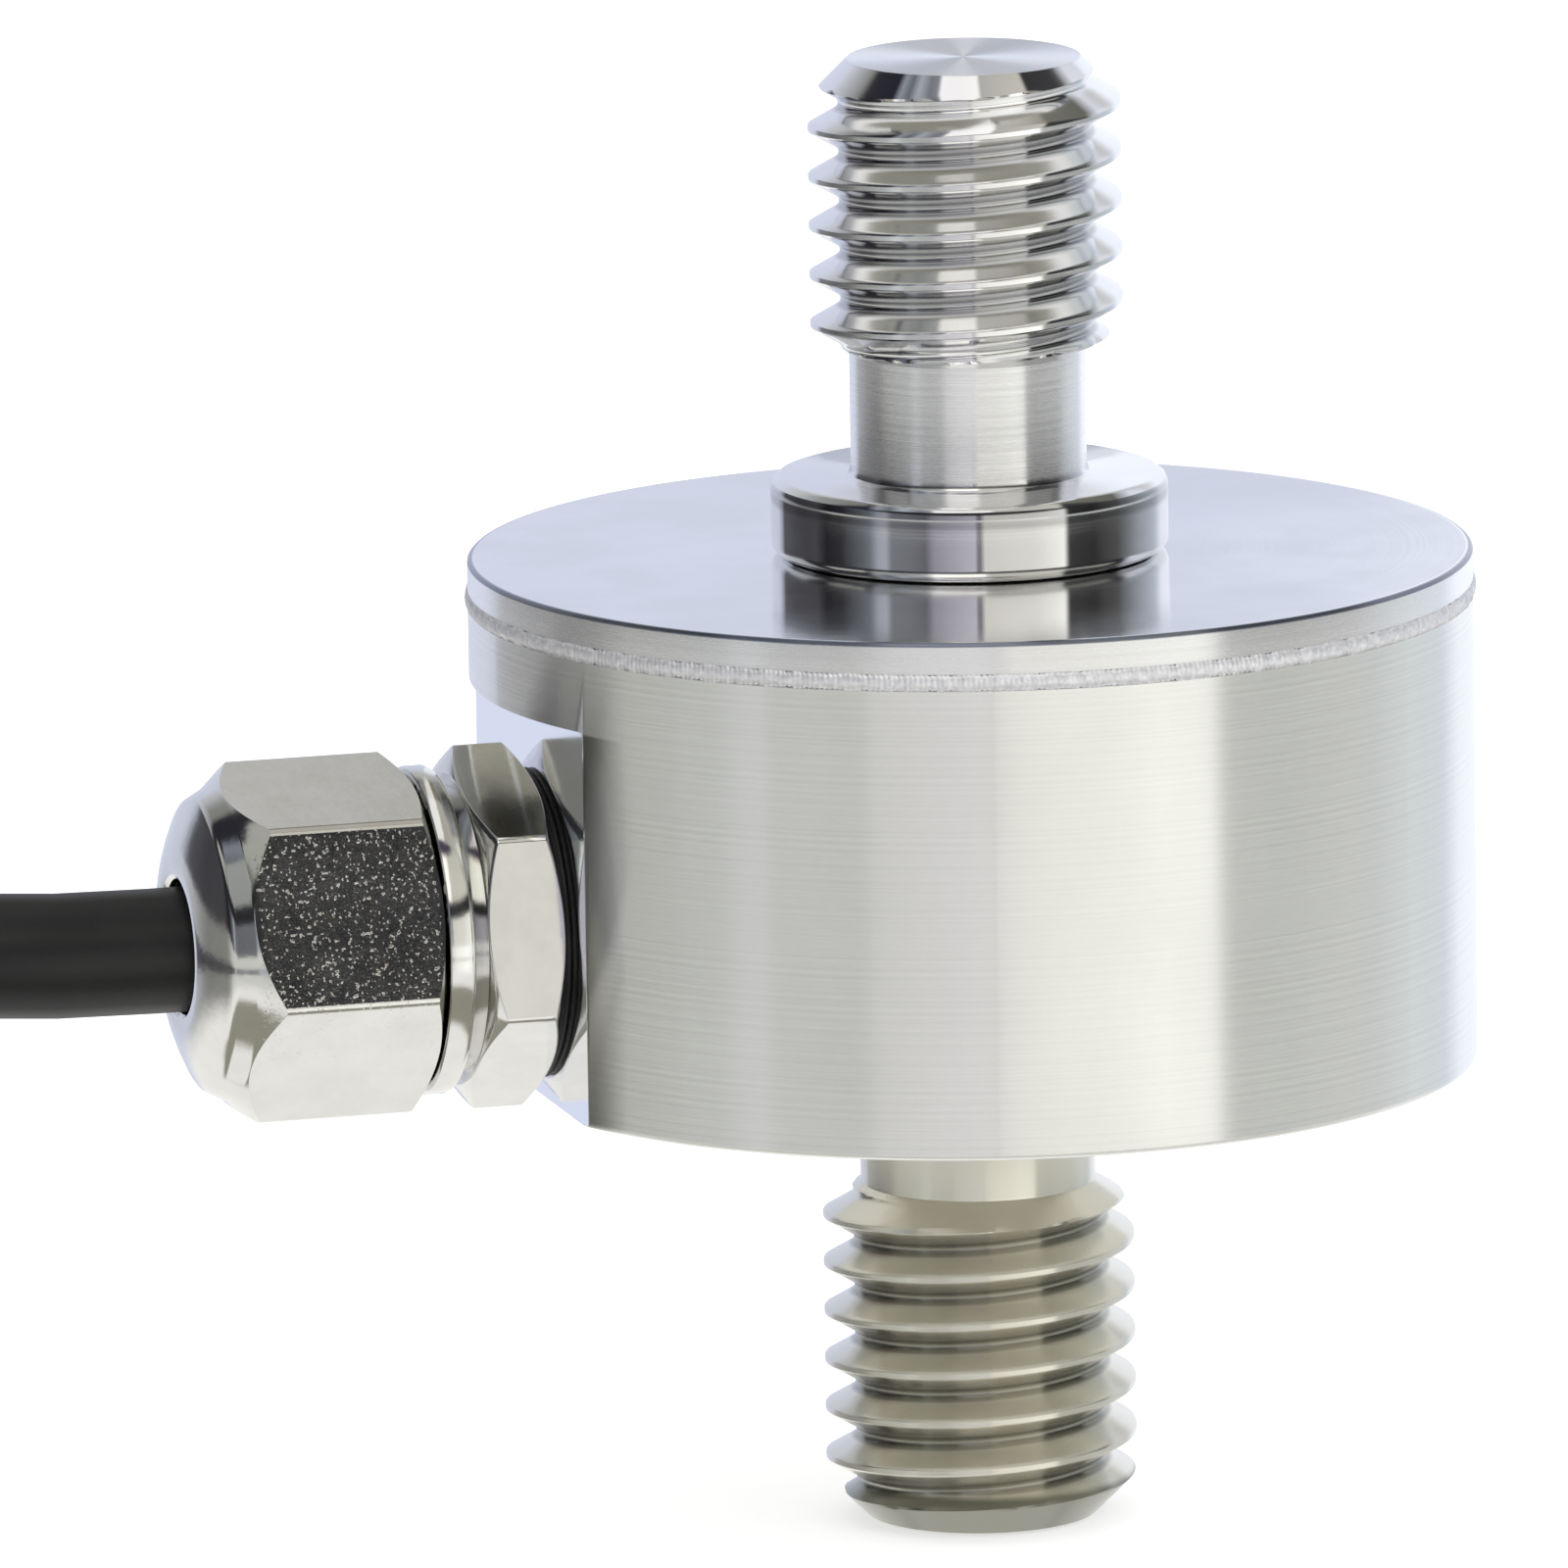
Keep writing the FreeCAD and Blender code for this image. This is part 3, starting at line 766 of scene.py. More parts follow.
def shrunk_sleeve():
    """Heat shrink over the jacket's end and the leads, drawn in where it grips the leads."""
    outline = [
        (CABLE_RADIUS, -5.0),
        (1.88, -5.0),
        (1.94, -4.9),
        (1.95, -4.7),
        (1.95, -0.4),
        (1.93, 0.0),
        (1.84, 0.6),
        (1.74, 1.2),
        (1.7, 1.85),
        (1.62, 2.0),
        (1.5, 2.0),
        (1.5, 0.0),
        (CABLE_RADIUS, 0.0),
        (CABLE_RADIUS, -5.0),
    ]
    piece = turned("shrunk_sleeve", outline, 48)
    way = (CABLE_END - BEFORE_END).normalized()
    piece.rotation_mode = "QUATERNION"
    piece.rotation_quaternion = way.to_track_quat("Z", "Y")
    piece.location = CABLE_END * MM
    settle(piece)
    smooth(piece, 40)
    return piece


# Materials

class Socket:
    """A node's output that takes part in arithmetic."""

    def __init__(self, tree, socket):
        self.tree = tree
        self.socket = socket

    def maths(self, operation, *values):
        return self.tree.node("ShaderNodeMath", {"operation": operation}, dict(enumerate(values)))

    def __add__(self, other):
        return self.maths("ADD", self, other)

    def __radd__(self, other):
        return self.maths("ADD", other, self)

    def __sub__(self, other):
        return self.maths("SUBTRACT", self, other)

    def __rsub__(self, other):
        return self.maths("SUBTRACT", other, self)

    def __mul__(self, other):
        return self.maths("MULTIPLY", self, other)

    def __rmul__(self, other):
        return self.maths("MULTIPLY", other, self)

    def __truediv__(self, other):
        return self.maths("DIVIDE", self, other)

    def __rtruediv__(self, other):
        return self.maths("DIVIDE", other, self)

    def __pow__(self, other):
        return self.maths("POWER", self, other)

    def between(self, low, high):
        """0 below low, 1 above high, and a smooth step between."""
        return self.tree.node(
            "ShaderNodeMapRange",
            {"interpolation_type": "SMOOTHSTEP"},
            {0: self, 1: low, 2: high, 3: 0.0, 4: 1.0},
        )


class Tree:
    """A node tree, with one method for every node."""

    def __init__(self, tree):
        self.tree = tree

    def node(self, kind, settings=None, inputs=None, output=0):
        made = self.tree.nodes.new(kind)
        for key, value in (settings or {}).items():
            if key == "stops":
                self.set_stops(made.color_ramp, value)
            else:
                setattr(made, key, value)
        for key, value in (inputs or {}).items():
            if isinstance(value, Socket):
                self.tree.links.new(value.socket, made.inputs[key])
            else:
                made.inputs[key].default_value = value
        return Socket(self, made.outputs[output])

    def set_stops(self, ramp, stops):
        while len(ramp.elements) < len(stops):
            ramp.elements.new(0.5)
        for element, (place, colour) in zip(ramp.elements, stops):
            element.position = place
            element.color = (*colour, 1.0)

    def feed(self, shader, **links):
        for key, value in links.items():
            self.tree.links.new(value.socket, shader.inputs[key.replace("_", " ")])

    def mixed(self, factor, a, b):
        """Colour a where the factor is 0, colour b where it is 1."""
        return self.node("ShaderNodeMix", {"data_type": "RGBA"}, {0: factor, 6: solid(a), 7: solid(b)}, 2)

    def place(self, centre=(0.0, 0.0, 0.0)):
        """Object coordinates in millimetres, from a centre."""
        raw = self.node("ShaderNodeTexCoord", {}, {}, "Object")
        shift = tuple(-c for c in centre)
        scale = (1 / MM, 1 / MM, 1 / MM)
        return self.node("ShaderNodeMapping", {}, {"Vector": raw, "Location": shift, "Scale": scale})

    def parts(self, vector):
        split = self.node("ShaderNodeSeparateXYZ", {}, {0: vector}).socket.node
        return [Socket(self, out) for out in split.outputs]

    def along(self, vector, direction):
        """How far a vector reaches in a direction."""
        settings = {"operation": "DOT_PRODUCT"}
        return self.node("ShaderNodeVectorMath", settings, {0: vector, 1: direction}, "Value")

    def clouds(self, vector, scale, detail, roughness=0.5):
        """Noise in all directions, for haze, grain and mottle."""
        inputs = {"Vector": vector, "Scale": scale, "Detail": detail, "Roughness": roughness}
        return self.node("ShaderNodeTexNoise", {}, inputs, "Fac")

    def lines(self, along, scale, detail, roughness=0.5):
        """Noise that changes along one measure only, for turned and brushed marks."""
        inputs = {"W": along, "Scale": scale, "Detail": detail, "Roughness": roughness}
        return self.node("ShaderNodeTexNoise", {"noise_dimensions": "1D"}, inputs, "Fac")

    def bump(self, height, depth):
        inputs = {"Height": height, "Distance": depth * MM, "Strength": 1.0}
        return self.node("ShaderNodeBump", {}, inputs)


def solid(colour):
    """A plain colour with full alpha, and a link as it is."""
    return (*colour, 1.0) if isinstance(colour, tuple) else colour


def finish_named(name, **constants):
    """A new material with a shader that has the given constant settings, and its tree."""
    material = bpy.data.materials.new(name)
    material.use_nodes = True
    tree = Tree(material.node_tree)
    shader = material.node_tree.nodes["Principled BSDF"]
    for key, value in constants.items():
        shader.inputs[key.replace("_", " ")].default_value = value
    return material, tree, shader


def from_axis(tree, spot):
    """The coordinates of a spot and its distance from the load axis."""
    x, y, z = tree.parts(spot)
    radius = (x * x + y * y) ** 0.5
    return x, y, z, radius


TURNING_DEPTH = 0.004


def polished_steel():
    """Polished turned steel, satin on the rim and the neck, with painted shade in the thread roots, on the
    collar's upper band and along the top disc's edge.
    """
    material, tree, shader = finish_named("polished_turned_steel", Anisotropic=1.0, Anisotropic_Rotation=0.25)
    spot = tree.place()
    x, y, z, radius = from_axis(tree, spot)
    rim = radius.between(BODY_RADIUS - 0.2, BODY_RADIUS - 0.02)
    neck = (1 - radius.between(NECK + 0.02, NECK + 0.1)) * z.between(COLLAR_TOP + 0.1, COLLAR_TOP + 0.3)
    neck = neck * (1 - z.between(STUD_BASE, STUD_BASE + 0.1))
    satin = (rim + neck).maths("MINIMUM", rim + neck, 1.0)
    end = z.between(TOTAL - 0.02, TOTAL - 0.01)
    collar = radius.between(COLLAR_RADIUS - 0.07, COLLAR_RADIUS - 0.02)
    collar = collar * (1 - radius.between(COLLAR_RADIUS + 0.03, COLLAR_RADIUS + 0.08))
    collar = collar * z.between(BODY_TOP + 0.2, BODY_TOP + 0.3)
    fine = tree.lines(z + radius, 9.0, 3.0, 0.6)
    coarse = tree.lines(z + radius, 1.6, 1.0)
    haze = tree.clouds(spot, 0.35, 3.0)
    rough = 0.05 + (0.05 * haze + 0.02 * fine) * (1 - collar)
    rough = rough + satin * (0.13 + 0.12 * fine) + end * 0.14
    warm = tree.mixed(haze.between(0.3, 0.7), (0.80, 0.80, 0.80), (0.86, 0.86, 0.87))
    tint = tree.mixed(satin, warm, (0.92, 0.92, 0.93))
    # painted shade: the upper part of the collar's wall is darkened
    collar_shade = collar * z.between(COLLAR_TOP - 0.7, COLLAR_TOP - 0.5)
    tint = tree.mixed(collar_shade, tint, (0.52, 0.52, 0.53))
    # painted shade: the thread roots of the upper stud are darkened
    root = (1 - radius.between(ROOT + 0.04, ROOT + 0.18)) * z.between(STUD_BASE + 0.4, STUD_BASE + 0.5)
    root = root * (1 - z.between(TOTAL - STUD_CHAMFER - 0.1, TOTAL - STUD_CHAMFER))
    tint = tree.mixed(root, tint, (0.46, 0.46, 0.47))
    # painted shade: a dark bluish line along the top disc's rounded edge
    near_top = z.between(BODY_TOP - 0.12, BODY_TOP - 0.08)
    near_edge = radius.between(BODY_RADIUS - 0.16, BODY_RADIUS - 0.1)
    tint = tree.mixed(near_top * near_edge, tint, (0.22, 0.24, 0.30))
    height = fine * (0.15 + satin * 0.85) + coarse * 0.3
    metal = 1 - 0.12 * satin
    marks = tree.bump(height, TURNING_DEPTH)
    tree.feed(shader, Base_Color=tint, Roughness=rough, Metallic=metal, Normal=marks)
    return material


def turned_steel():
    """Satin turned steel, with a bright milled flat, a painted dark reflection beside the flat, and painted
    shade under the ledge, on the end chamfer and in the thread roots.
    """
    material, tree, shader = finish_named("satin_turned_steel", Anisotropic=1.0, Anisotropic_Rotation=0.25)
    spot = tree.place()
    x, y, z, radius = from_axis(tree, spot)
    stud = 1 - radius.between(4.2, 4.6)
    neck = stud * z.between(LOWER_THREAD, LOWER_THREAD + 0.1)
    flat = 1 - x.between(FLAT_X + 0.002, FLAT_X + 0.02)
    flat = flat * (1 - z.between(FLAT_LEDGE - 0.1, FLAT_LEDGE + 0.05))
    fine = tree.lines(z + radius, 10.0, 3.0, 0.65)
    haze = tree.clouds(spot, 0.3, 3.0)
    side = (1 - stud) * (1 - flat)
    rough = 0.1 + 0.06 * haze + side * (0.05 + 0.06 * fine) + stud * 0.08 - flat * 0.06
    pale = tree.mixed(fine.between(0.3, 0.7), (0.81, 0.81, 0.79), (0.86, 0.86, 0.84))
    tint = tree.mixed(stud, pale, (0.74, 0.72, 0.64))
    tint = tree.mixed(flat, tint, (0.94, 0.95, 0.98))
    # painted shade under the ledge at the top of the flat
    shade_under_ledge = z.between(FLAT_LEDGE - 0.08, FLAT_LEDGE - 0.03)
    shade_under_ledge = shade_under_ledge * (1 - z.between(FLAT_LEDGE + 0.01, FLAT_LEDGE + 0.03))
    shade_under_ledge = shade_under_ledge * (1 - x.between(FLAT_X - 0.1, FLAT_X - 0.02))
    shade_under_ledge = shade_under_ledge * (1 - radius.between(BODY_RADIUS - 0.08, BODY_RADIUS - 0.04))
    tint = tree.mixed(shade_under_ledge, tint, (0.48, 0.47, 0.40))
    # painted reflection: a dark strip on the side beside the flat's edge
    dark_reflection_beside_flat = side * (1 - x.between(FLAT_X, FLAT_X + 0.75))
    dark_reflection_beside_flat = dark_reflection_beside_flat * (1 - z.between(FLAT_LEDGE - 0.1, FLAT_LEDGE))
    tint = tree.mixed(dark_reflection_beside_flat, tint, (0.28, 0.28, 0.25))
    # painted shade on the lower stud's end chamfer
    shaded_end_chamfer = 1 - z.between(STUD_CHAMFER - 0.1, STUD_CHAMFER + 0.05)
    tint = tree.mixed(shaded_end_chamfer, tint, (0.30, 0.30, 0.26))
    # painted shade: the thread roots of the lower stud are darkened
    root = stud * (1 - radius.between(ROOT + 0.04, ROOT + 0.18)) * z.between(STUD_CHAMFER, STUD_CHAMFER + 0.1)
    root = root * (1 - z.between(LOWER_THREAD - 0.5, LOWER_THREAD - 0.4))
    tint = tree.mixed(root, tint, (0.34, 0.33, 0.28))
    height = fine * (0.2 + side * 0.35) * (1 - flat)
    metal = 1 - 0.12 * (side + neck)
    marks = tree.bump(height, TURNING_DEPTH)
    tree.feed(shader, Base_Color=tint, Roughness=rough, Metallic=metal, Normal=marks)
    return material


def weld_steel():
    """Grey, grainy weld metal with fine sparkling specks."""
    material, tree, shader = finish_named("weld_bead_steel", Metallic=0.45)
    spot = tree.place()
    speck = tree.clouds(spot, 6.0, 3.0, 0.6)
    rough = 0.28 + 0.2 * speck
    tint = tree.mixed(speck.between(0.35, 0.7), (0.74, 0.74, 0.76), (0.95, 0.95, 0.97))
    tree.feed(shader, Base_Color=tint, Roughness=rough, Normal=tree.bump(speck, 0.01))
    return material


def nickel_plate():
    """Bright nickel over brass, a little frosted and pitted where the bar was drawn."""
    material, tree, shader = finish_named("bright_nickel_plate", Metallic=1.0)
    spot = tree.place((FLAT_X, 0.0, GLAND_Z))
    haze = tree.clouds(spot, 0.8, 4.0, 0.6)
    grains = tree.clouds(spot, 8.0, 3.0, 0.7)
    mottle = tree.clouds(spot, 3.5, 2.0)
    x, y, z = tree.parts(spot)
    # the middle facet of the nut, where the plating is worn and sparkles
    worn = (1 - x.between(-3.5, -3.3)) * x.between(-8.1, -7.9) * (1 - y.between(-3.2, -3.05))
    rough = 0.06 + 0.06 * haze + 0.04 * mottle
    tint = tree.mixed(haze.between(0.3, 0.7), (0.68, 0.675, 0.65), (0.73, 0.725, 0.71))
    specks = tree.clouds(spot, 10.5, 1.0).between(0.63, 0.75)
    height = worn * (0.3 * grains + 0.34 * specks) + 0.15 * mottle
    tree.feed(shader, Base_Color=tint, Roughness=rough, Normal=tree.bump(height, 0.014))
    return material


def jacket():
    """Black cable jacket with a slight grain."""
    material, tree, shader = finish_named("black_cable_jacket", IOR=1.46, Specular_IOR_Level=0.45)
    spot = tree.place()
    grain = tree.clouds(spot, 9.0, 3.0, 0.6)
    smear = tree.clouds(spot, 0.5, 3.0)
    rough = 0.36 + 0.1 * smear
    tint = tree.mixed(smear.between(0.3, 0.7), (0.006, 0.006, 0.007), (0.010, 0.010, 0.011))
    tree.feed(shader, Base_Color=tint, Roughness=rough, Normal=tree.bump(grain, 0.006))
    return material


def plain_finish(name, low, high, rough, metal=0.0, grain_scale=4.0):
    """A finish with a mottled colour, an uneven gloss and a fine grain."""
    material, tree, shader = finish_named(name, Metallic=metal)
    spot = tree.place()
    mottle = tree.clouds(spot, grain_scale * 0.25, 3.0)
    grain = tree.clouds(spot, grain_scale, 2.0)
    tint = tree.mixed(mottle.between(0.3, 0.7), low, high)
    rough = rough + 0.12 * (mottle - 0.5)
    tree.feed(shader, Base_Color=tint, Roughness=rough, Normal=tree.bump(grain, 0.004))
    return material


# Studio

CAMERA_AZIMUTH = math.radians(-16)
LEVEL_VIEW = 0.983

# What upright metal mirrors, by twice the angle of its face to the right of the camera.
# Strips of card and cloth stand round the object, so each zone of height has its own row.
SIDES = [
    (-180, (0.80, 0.84, 0.95)),
    (-150, (0.62, 0.66, 0.78)),
    (-136, (0.10, 0.10, 0.12)),
    (-120, (0.06, 0.06, 0.07)),
    (-100, (0.07, 0.07, 0.08)),
    (-92, (0.015, 0.015, 0.02)),
    (-80, (0.03, 0.03, 0.035)),
    (-74, (0.07, 0.075, 0.085)),
    (-66, (0.13, 0.14, 0.16)),
    (-60, (0.18, 0.20, 0.23)),
    (-55, (0.42, 0.44, 0.51)),
    (-50, (0.48, 0.50, 0.56)),
    (-46, (0.22, 0.23, 0.25)),
    (-36, (0.20, 0.21, 0.23)),
    (-25, (0.15, 0.15, 0.17)),
    (-21, (0.34, 0.33, 0.38)),
    (3, (0.62, 0.60, 0.68)),
    (4.5, (0.22, 0.21, 0.24)),
    (6, (0.22, 0.21, 0.24)),
    (8, (0.86, 0.84, 0.77)),
    (36, (0.94, 0.92, 0.86)),
    (50, (1.12, 1.10, 1.03)),
    (56.5, (1.25, 1.24, 1.17)),
    (59.5, (0.05, 0.05, 0.05)),
    (76, (0.03, 0.03, 0.03)),
    (96, (0.10, 0.10, 0.10)),
    (108, (0.24, 0.26, 0.28)),
    (138, (0.60, 0.66, 0.76)),
    (180, (0.98, 1.02, 1.12)),
]
SIDES_LOW = [
    (-180, (0.88, 0.93, 1.03)),
    (-146, (0.66, 0.70, 0.75)),
    (-130, (0.48, 0.49, 0.51)),
    (-114, (0.26, 0.26, 0.26)),
    (-98, (0.30, 0.30, 0.28)),
    (-86, (0.64, 0.65, 0.61)),
    (-69, (0.74, 0.76, 0.72)),
    (-48, (0.80, 0.81, 0.78)),
    (-30, (0.78, 0.80, 0.76)),
    (-20, (0.87, 0.87, 0.85)),
    (-2, (0.90, 0.90, 0.89)),
    (4, (0.97, 0.97, 0.94)),
    (12, (1.14, 1.14, 1.09)),
    (19, (1.25, 1.24, 1.19)),
    (29, (1.29, 1.31, 1.23)),
    (43, (1.42, 1.44, 1.38)),
    (54, (1.24, 1.26, 1.20)),
    (62, (0.81, 0.83, 0.80)),
    (74, (0.78, 0.81, 0.78)),
    (96, (0.83, 0.85, 0.83)),
    (106, (0.72, 0.76, 0.76)),
    (118, (0.82, 0.88, 0.89)),
    (132, (0.76, 0.83, 0.87)),
    (154, (0.68, 0.76, 0.86)),
    (180, (1.04, 1.11, 1.22)),
]
OVERHEAD = [
    (-170, (0.60, 0.63, 0.72)),
    (-150, (0.20, 0.21, 0.23)),
    (-130, (0.03, 0.03, 0.035)),
    (-62, (0.02, 0.02, 0.03)),
    (-56, (0.30, 0.32, 0.36)),
    (-48, (0.14, 0.15, 0.18)),
    (-40, (0.42, 0.45, 0.50)),
    (-30, (0.20, 0.21, 0.24)),
    (-23, (0.26, 0.27, 0.30)),
    (-20, (1.12, 1.10, 1.12)),
    (12, (1.16, 1.14, 1.10)),
    (15, (0.50, 0.49, 0.45)),
    (54, (0.62, 0.60, 0.53)),
    (58, (0.04, 0.04, 0.04)),
    (100, (0.05, 0.05, 0.06)),
    (108, (0.90, 0.92, 1.00)),
]
BEHIND = [
    (-150, (0.80, 0.83, 0.93)),
    (-100, (0.30, 0.31, 0.30)),
    (-66, (0.22, 0.22, 0.20)),
    (-60, (0.08, 0.08, 0.08)),
    (-56, (0.30, 0.31, 0.30)),
    (-24, (0.34, 0.34, 0.33)),
    (-20, (0.95, 0.92, 0.88)),
    (12, (1.05, 1.02, 0.98)),
    (15, (0.27, 0.26, 0.21)),
    (55, (0.24, 0.23, 0.18)),
    (60, (0.19, 0.19, 0.16)),
    (96, (0.15, 0.15, 0.13)),
    (112, (0.80, 0.82, 0.90)),
]
BEFORE_HIGH = [
    (-150, (0.80, 0.83, 0.93)),
    (-104, (0.52, 0.52, 0.48)),
    (-66, (0.48, 0.49, 0.45)),
    (-61, (0.12, 0.12, 0.12)),
    (-57, (0.46, 0.48, 0.46)),
    (-40, (0.36, 0.38, 0.37)),
    (-25, (0.55, 0.56, 0.55)),
    (-20, (1.45, 1.42, 1.32)),
    (8, (1.50, 1.47, 1.38)),
    (12, (0.72, 0.71, 0.64)),
    (54, (0.76, 0.74, 0.66)),
    (59, (0.34, 0.34, 0.29)),
    (96, (0.36, 0.36, 0.32)),
    (112, (0.90, 0.92, 1.00)),
]
DARK_CLOTH = (0.02, 0.02, 0.024)
VIOLET_SHADE = (0.07, 0.05, 0.09)
TABLE = (1.08, 1.07, 1.04)
TABLE_EDGE = (0.36, 0.35, 0.29)


def make_studio():
    """White behind the object, and a studio's bright and dark zones for the metal to mirror."""
    world = bpy.data.worlds.new("studio")
    bpy.context.scene.world = world
    world.use_nodes = True
    tree = Tree(world.node_tree)
    ray = tree.node("ShaderNodeTexCoord", {}, {}, "Generated")
    sine = math.sin(CAMERA_AZIMUTH)
    cosine = math.cos(CAMERA_AZIMUTH)
    towards = tree.along(ray, (sine, -cosine, 0))
    right = tree.along(ray, (cosine, sine, 0))
    up = tree.parts(ray)[2]
    # a mirrored ray plus the ray to the camera points where the mirroring face looks
    ahead = towards + LEVEL_VIEW
    way = right.maths("ARCTAN2", right, ahead) / math.pi + 0.5
    sides, sides_low, overhead, behind, before_high = (
        tree.node("ShaderNodeValToRGB", {"stops": [(d / 360 + 0.5, c) for d, c in row]}, {0: way}, "Color")
        for row in (SIDES, SIDES_LOW, OVERHEAD, BEHIND, BEFORE_HIGH)
    )
    # level rays, and one narrow band below them, meet the row with the dark strips
    dim = up.between(-0.215, -0.205) * (1 - up.between(-0.165, -0.155)) + up.between(-0.05, 0.0)
    sides = tree.mixed(dim, sides_low, sides)
    # higher up come what is behind, overhead and before the object, with a dark cloth low in front
    above = tree.mixed(towards.between(-0.48, -0.36), behind, overhead)
    before = tree.mixed(up.between(0.45, 0.52), DARK_CLOTH, before_high)
    before = tree.mixed(up.between(0.86, 0.92), before, VIOLET_SHADE)
    front = towards + 0.45 * (1 - up.between(0.64, 0.74))
    above = tree.mixed(front.between(0.22, 0.3), above, before)
    seen = tree.mixed(up.between(0.28, 0.34), sides, above)
    # right behind the object hangs a pale backdrop in two tones
    backdrop = tree.mixed(right.between(0.019, 0.026), (0.70, 0.74, 0.88), (1.0, 1.04, 1.14))
    backdrop = tree.mixed(up.between(0.3, 0.5), backdrop, (0.58, 0.58, 0.57))
    rear = (1 - towards.between(-0.86, -0.7)) * (1 - up.between(0.62, 0.72))
    seen = tree.mixed(rear, seen, backdrop)
    # the table below has a darker part nearer the camera
    below = 0 - up
    edge = below.between(0.45, 0.52) * (1 - below.between(0.8, 0.88)) * towards.between(-0.45, -0.3)
    table = tree.mixed(edge, TABLE, TABLE_EDGE)
    seen = tree.mixed(below.between(0.27, 0.4), seen, table)
    camera_ray = tree.node("ShaderNodeLightPath", output="Is Camera Ray")
    glossy_ray = tree.node("ShaderNodeLightPath", output="Is Glossy Ray")
    # only mirrored rays see the studio: rough surfaces get plain light, and the camera sees white
    light = tree.mixed(glossy_ray, (0.78, 0.78, 0.79), seen)
    light = tree.mixed(camera_ray, light, (1.0, 1.0, 1.0))
    background = world.node_tree.nodes["Background"]
    background.inputs["Strength"].default_value = 1.0
    tree.feed(background, Color=light)


def make_floor():
    """A pale floor, lifted to white for the camera alone, that keeps the object's shadow."""
    bpy.ops.object.select_all(action="DESELECT")
    bpy.ops.mesh.primitive_plane_add(size=8.0, location=(0, 0, -0.0001))
    floor = named("studio_floor")
    settle(floor)
    grey = (0.80, 0.80, 0.80, 1)
    white = (1, 1, 1, 1)
    material, tree, shader = finish_named("pale_floor", Base_Color=grey, Roughness=0.9, Emission_Color=white)
    camera_ray = tree.node("ShaderNodeLightPath", output="Is Camera Ray")
    tree.feed(shader, Emission_Strength=camera_ray * 0.55)
    floor.data.materials.append(material)
    floor.visible_glossy = False


def make_lamp():
    """One soft lamp from the front. The metal doesn't mirror it."""
    place = Vector((0.25, -0.5, 0.6))
    aim = Vector((0, 0, 0.02))
    data = bpy.data.lights.new("key", "AREA")
    data.shape = "DISK"
    data.size = 0.5
    data.energy = 1.6
    key = bpy.data.objects.new("key", data)
    key.location = place
    key.rotation_mode = "QUATERNION"
    key.rotation_quaternion = (aim - place).to_track_quat("-Z", "Y")
    key.visible_glossy = False
    bpy.context.scene.collection.objects.link(key)


# The whole

def dress(piece, material, slot, *nodes):
    """Gives a piece its finish and hides the nodes that it replaces. The slot is not used."""
    piece.data.materials.clear()
    piece.data.materials.append(material)
    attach(piece, "root")
    if nodes:
        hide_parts(*nodes)


def dress_cable():
    """The cable with the sleeve and the leads at its far end."""
    cable = smooth_lines("wound_cable", [cable_points()], CABLE_RADIUS, 4, 6)
    sleeve = shrunk_sleeve()
    black = plain_finish("black_shrink_sleeve", (0.012, 0.012, 0.012), (0.022, 0.022, 0.022), 0.35)
    dress(cable, jacket(), "cable_jacket", "cable", "cable_coil", "cable_tail")
    dress(sleeve, black, "shrink_sleeve", "end_sleeve")
    tinned = plain_finish("tinned_strands", (0.62, 0.62, 0.62), (0.78, 0.78, 0.77), 0.3, 1.0, 10.0)
    on_cable = [sleeve]
    for name, bundle_angle, place, low, high, slot in LEADS:
        points = lead_points(bundle_angle, place)
        cover = smooth_lines(name + "_insulation", [points], LEAD_RADIUS, 4, 4)
        strands = stranded_end(name + "_strands", points)
        dress(cover, plain_finish(slot, low, high, 0.4), slot, name)
        dress(strands, tinned, "tinned_wire")
        on_cable += [cover, strands]
    # the photograph's metal has no coil beside it to mirror
    for piece in [cable] + on_cable:
        piece.visible_glossy = False


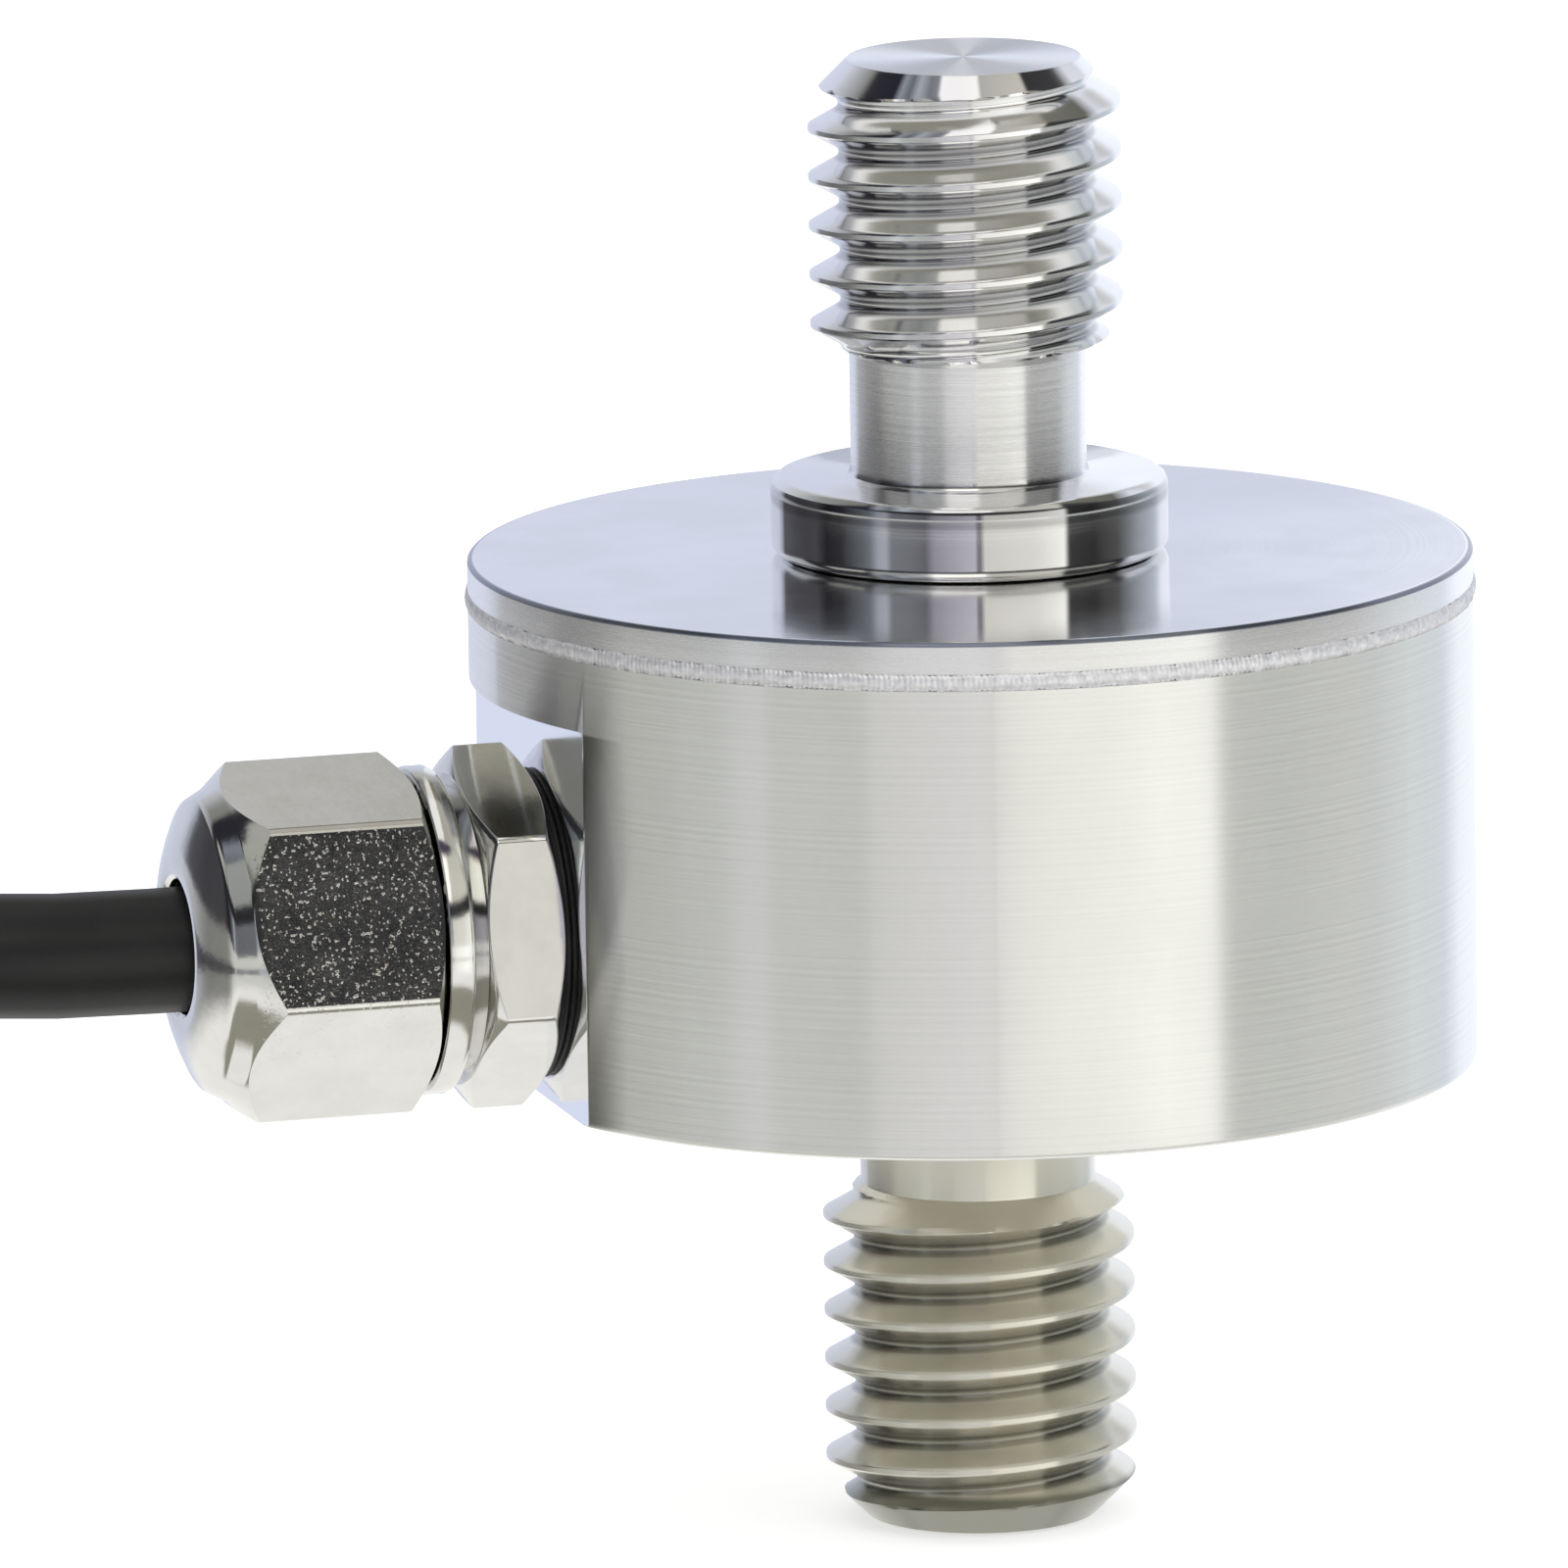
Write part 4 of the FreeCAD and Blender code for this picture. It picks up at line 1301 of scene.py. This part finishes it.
def dress_cell():
    """The steel cell and the gland."""
    dress(upper_member(), polished_steel(), "polished_steel", "upper_member")
    dress(cup_housing(), turned_steel(), "turned_steel", "cup_housing")
    dress(weld_bead(), weld_steel(), "weld_steel", "weld_bead")
    nickel = nickel_plate()
    rubber = plain_finish("black_gasket_rubber", (0.008, 0.008, 0.008), (0.016, 0.016, 0.016), 0.5)
    dress(gland_body(), nickel, "nickel_plate", "gland_body")
    dress(compression_nut(), nickel, "nickel_plate", "compression_nut")
    dress(gland_gasket(), rubber, "gasket_rubber", "gland_gasket")


def dress_inside():
    """Finishes for the pieces that stay as the solids have them."""
    finishes = {
        "gland_seal": plain_finish("seal_rubber", (0.02, 0.02, 0.02), (0.035, 0.035, 0.035), 0.6),
        "clamp_ring": plain_finish("slip_ring_plastic", (0.55, 0.53, 0.48), (0.65, 0.63, 0.58), 0.4),
        "terminal_board": plain_finish("board_laminate", (0.02, 0.12, 0.05), (0.03, 0.17, 0.07), 0.4),
        "strain_gauge": plain_finish("gauge_foil", (0.72, 0.45, 0.20), (0.82, 0.55, 0.28), 0.35, 1.0),
        "gauge_leads": plain_finish("bare_copper", (0.72, 0.36, 0.22), (0.85, 0.45, 0.28), 0.3, 1.0),
        "resistor": plain_finish("chip_ceramic", (0.05, 0.05, 0.055), (0.09, 0.09, 0.10), 0.45),
        "core_red": plain_finish("core_red", (0.45, 0.02, 0.02), (0.55, 0.03, 0.03), 0.4),
        "core_black": plain_finish("core_black", (0.015, 0.015, 0.015), (0.03, 0.03, 0.03), 0.4),
        "core_green": plain_finish("core_green", (0.02, 0.22, 0.06), (0.03, 0.32, 0.09), 0.4),
        "core_white": plain_finish("core_white", (0.72, 0.72, 0.70), (0.82, 0.82, 0.80), 0.4),
        "shield_drain": plain_finish("drain_wire", (0.62, 0.62, 0.62), (0.78, 0.78, 0.77), 0.3, 1.0),
    }
    for name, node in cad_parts.items():
        for key, material in finishes.items():
            if key in name:
                node.data.materials.clear()
                node.data.materials.append(material)


make_camera()
dress_cable()
dress_cell()
dress_inside()
make_studio()
make_floor()
make_lamp()
bpy.context.scene.view_settings.view_transform = "Standard"
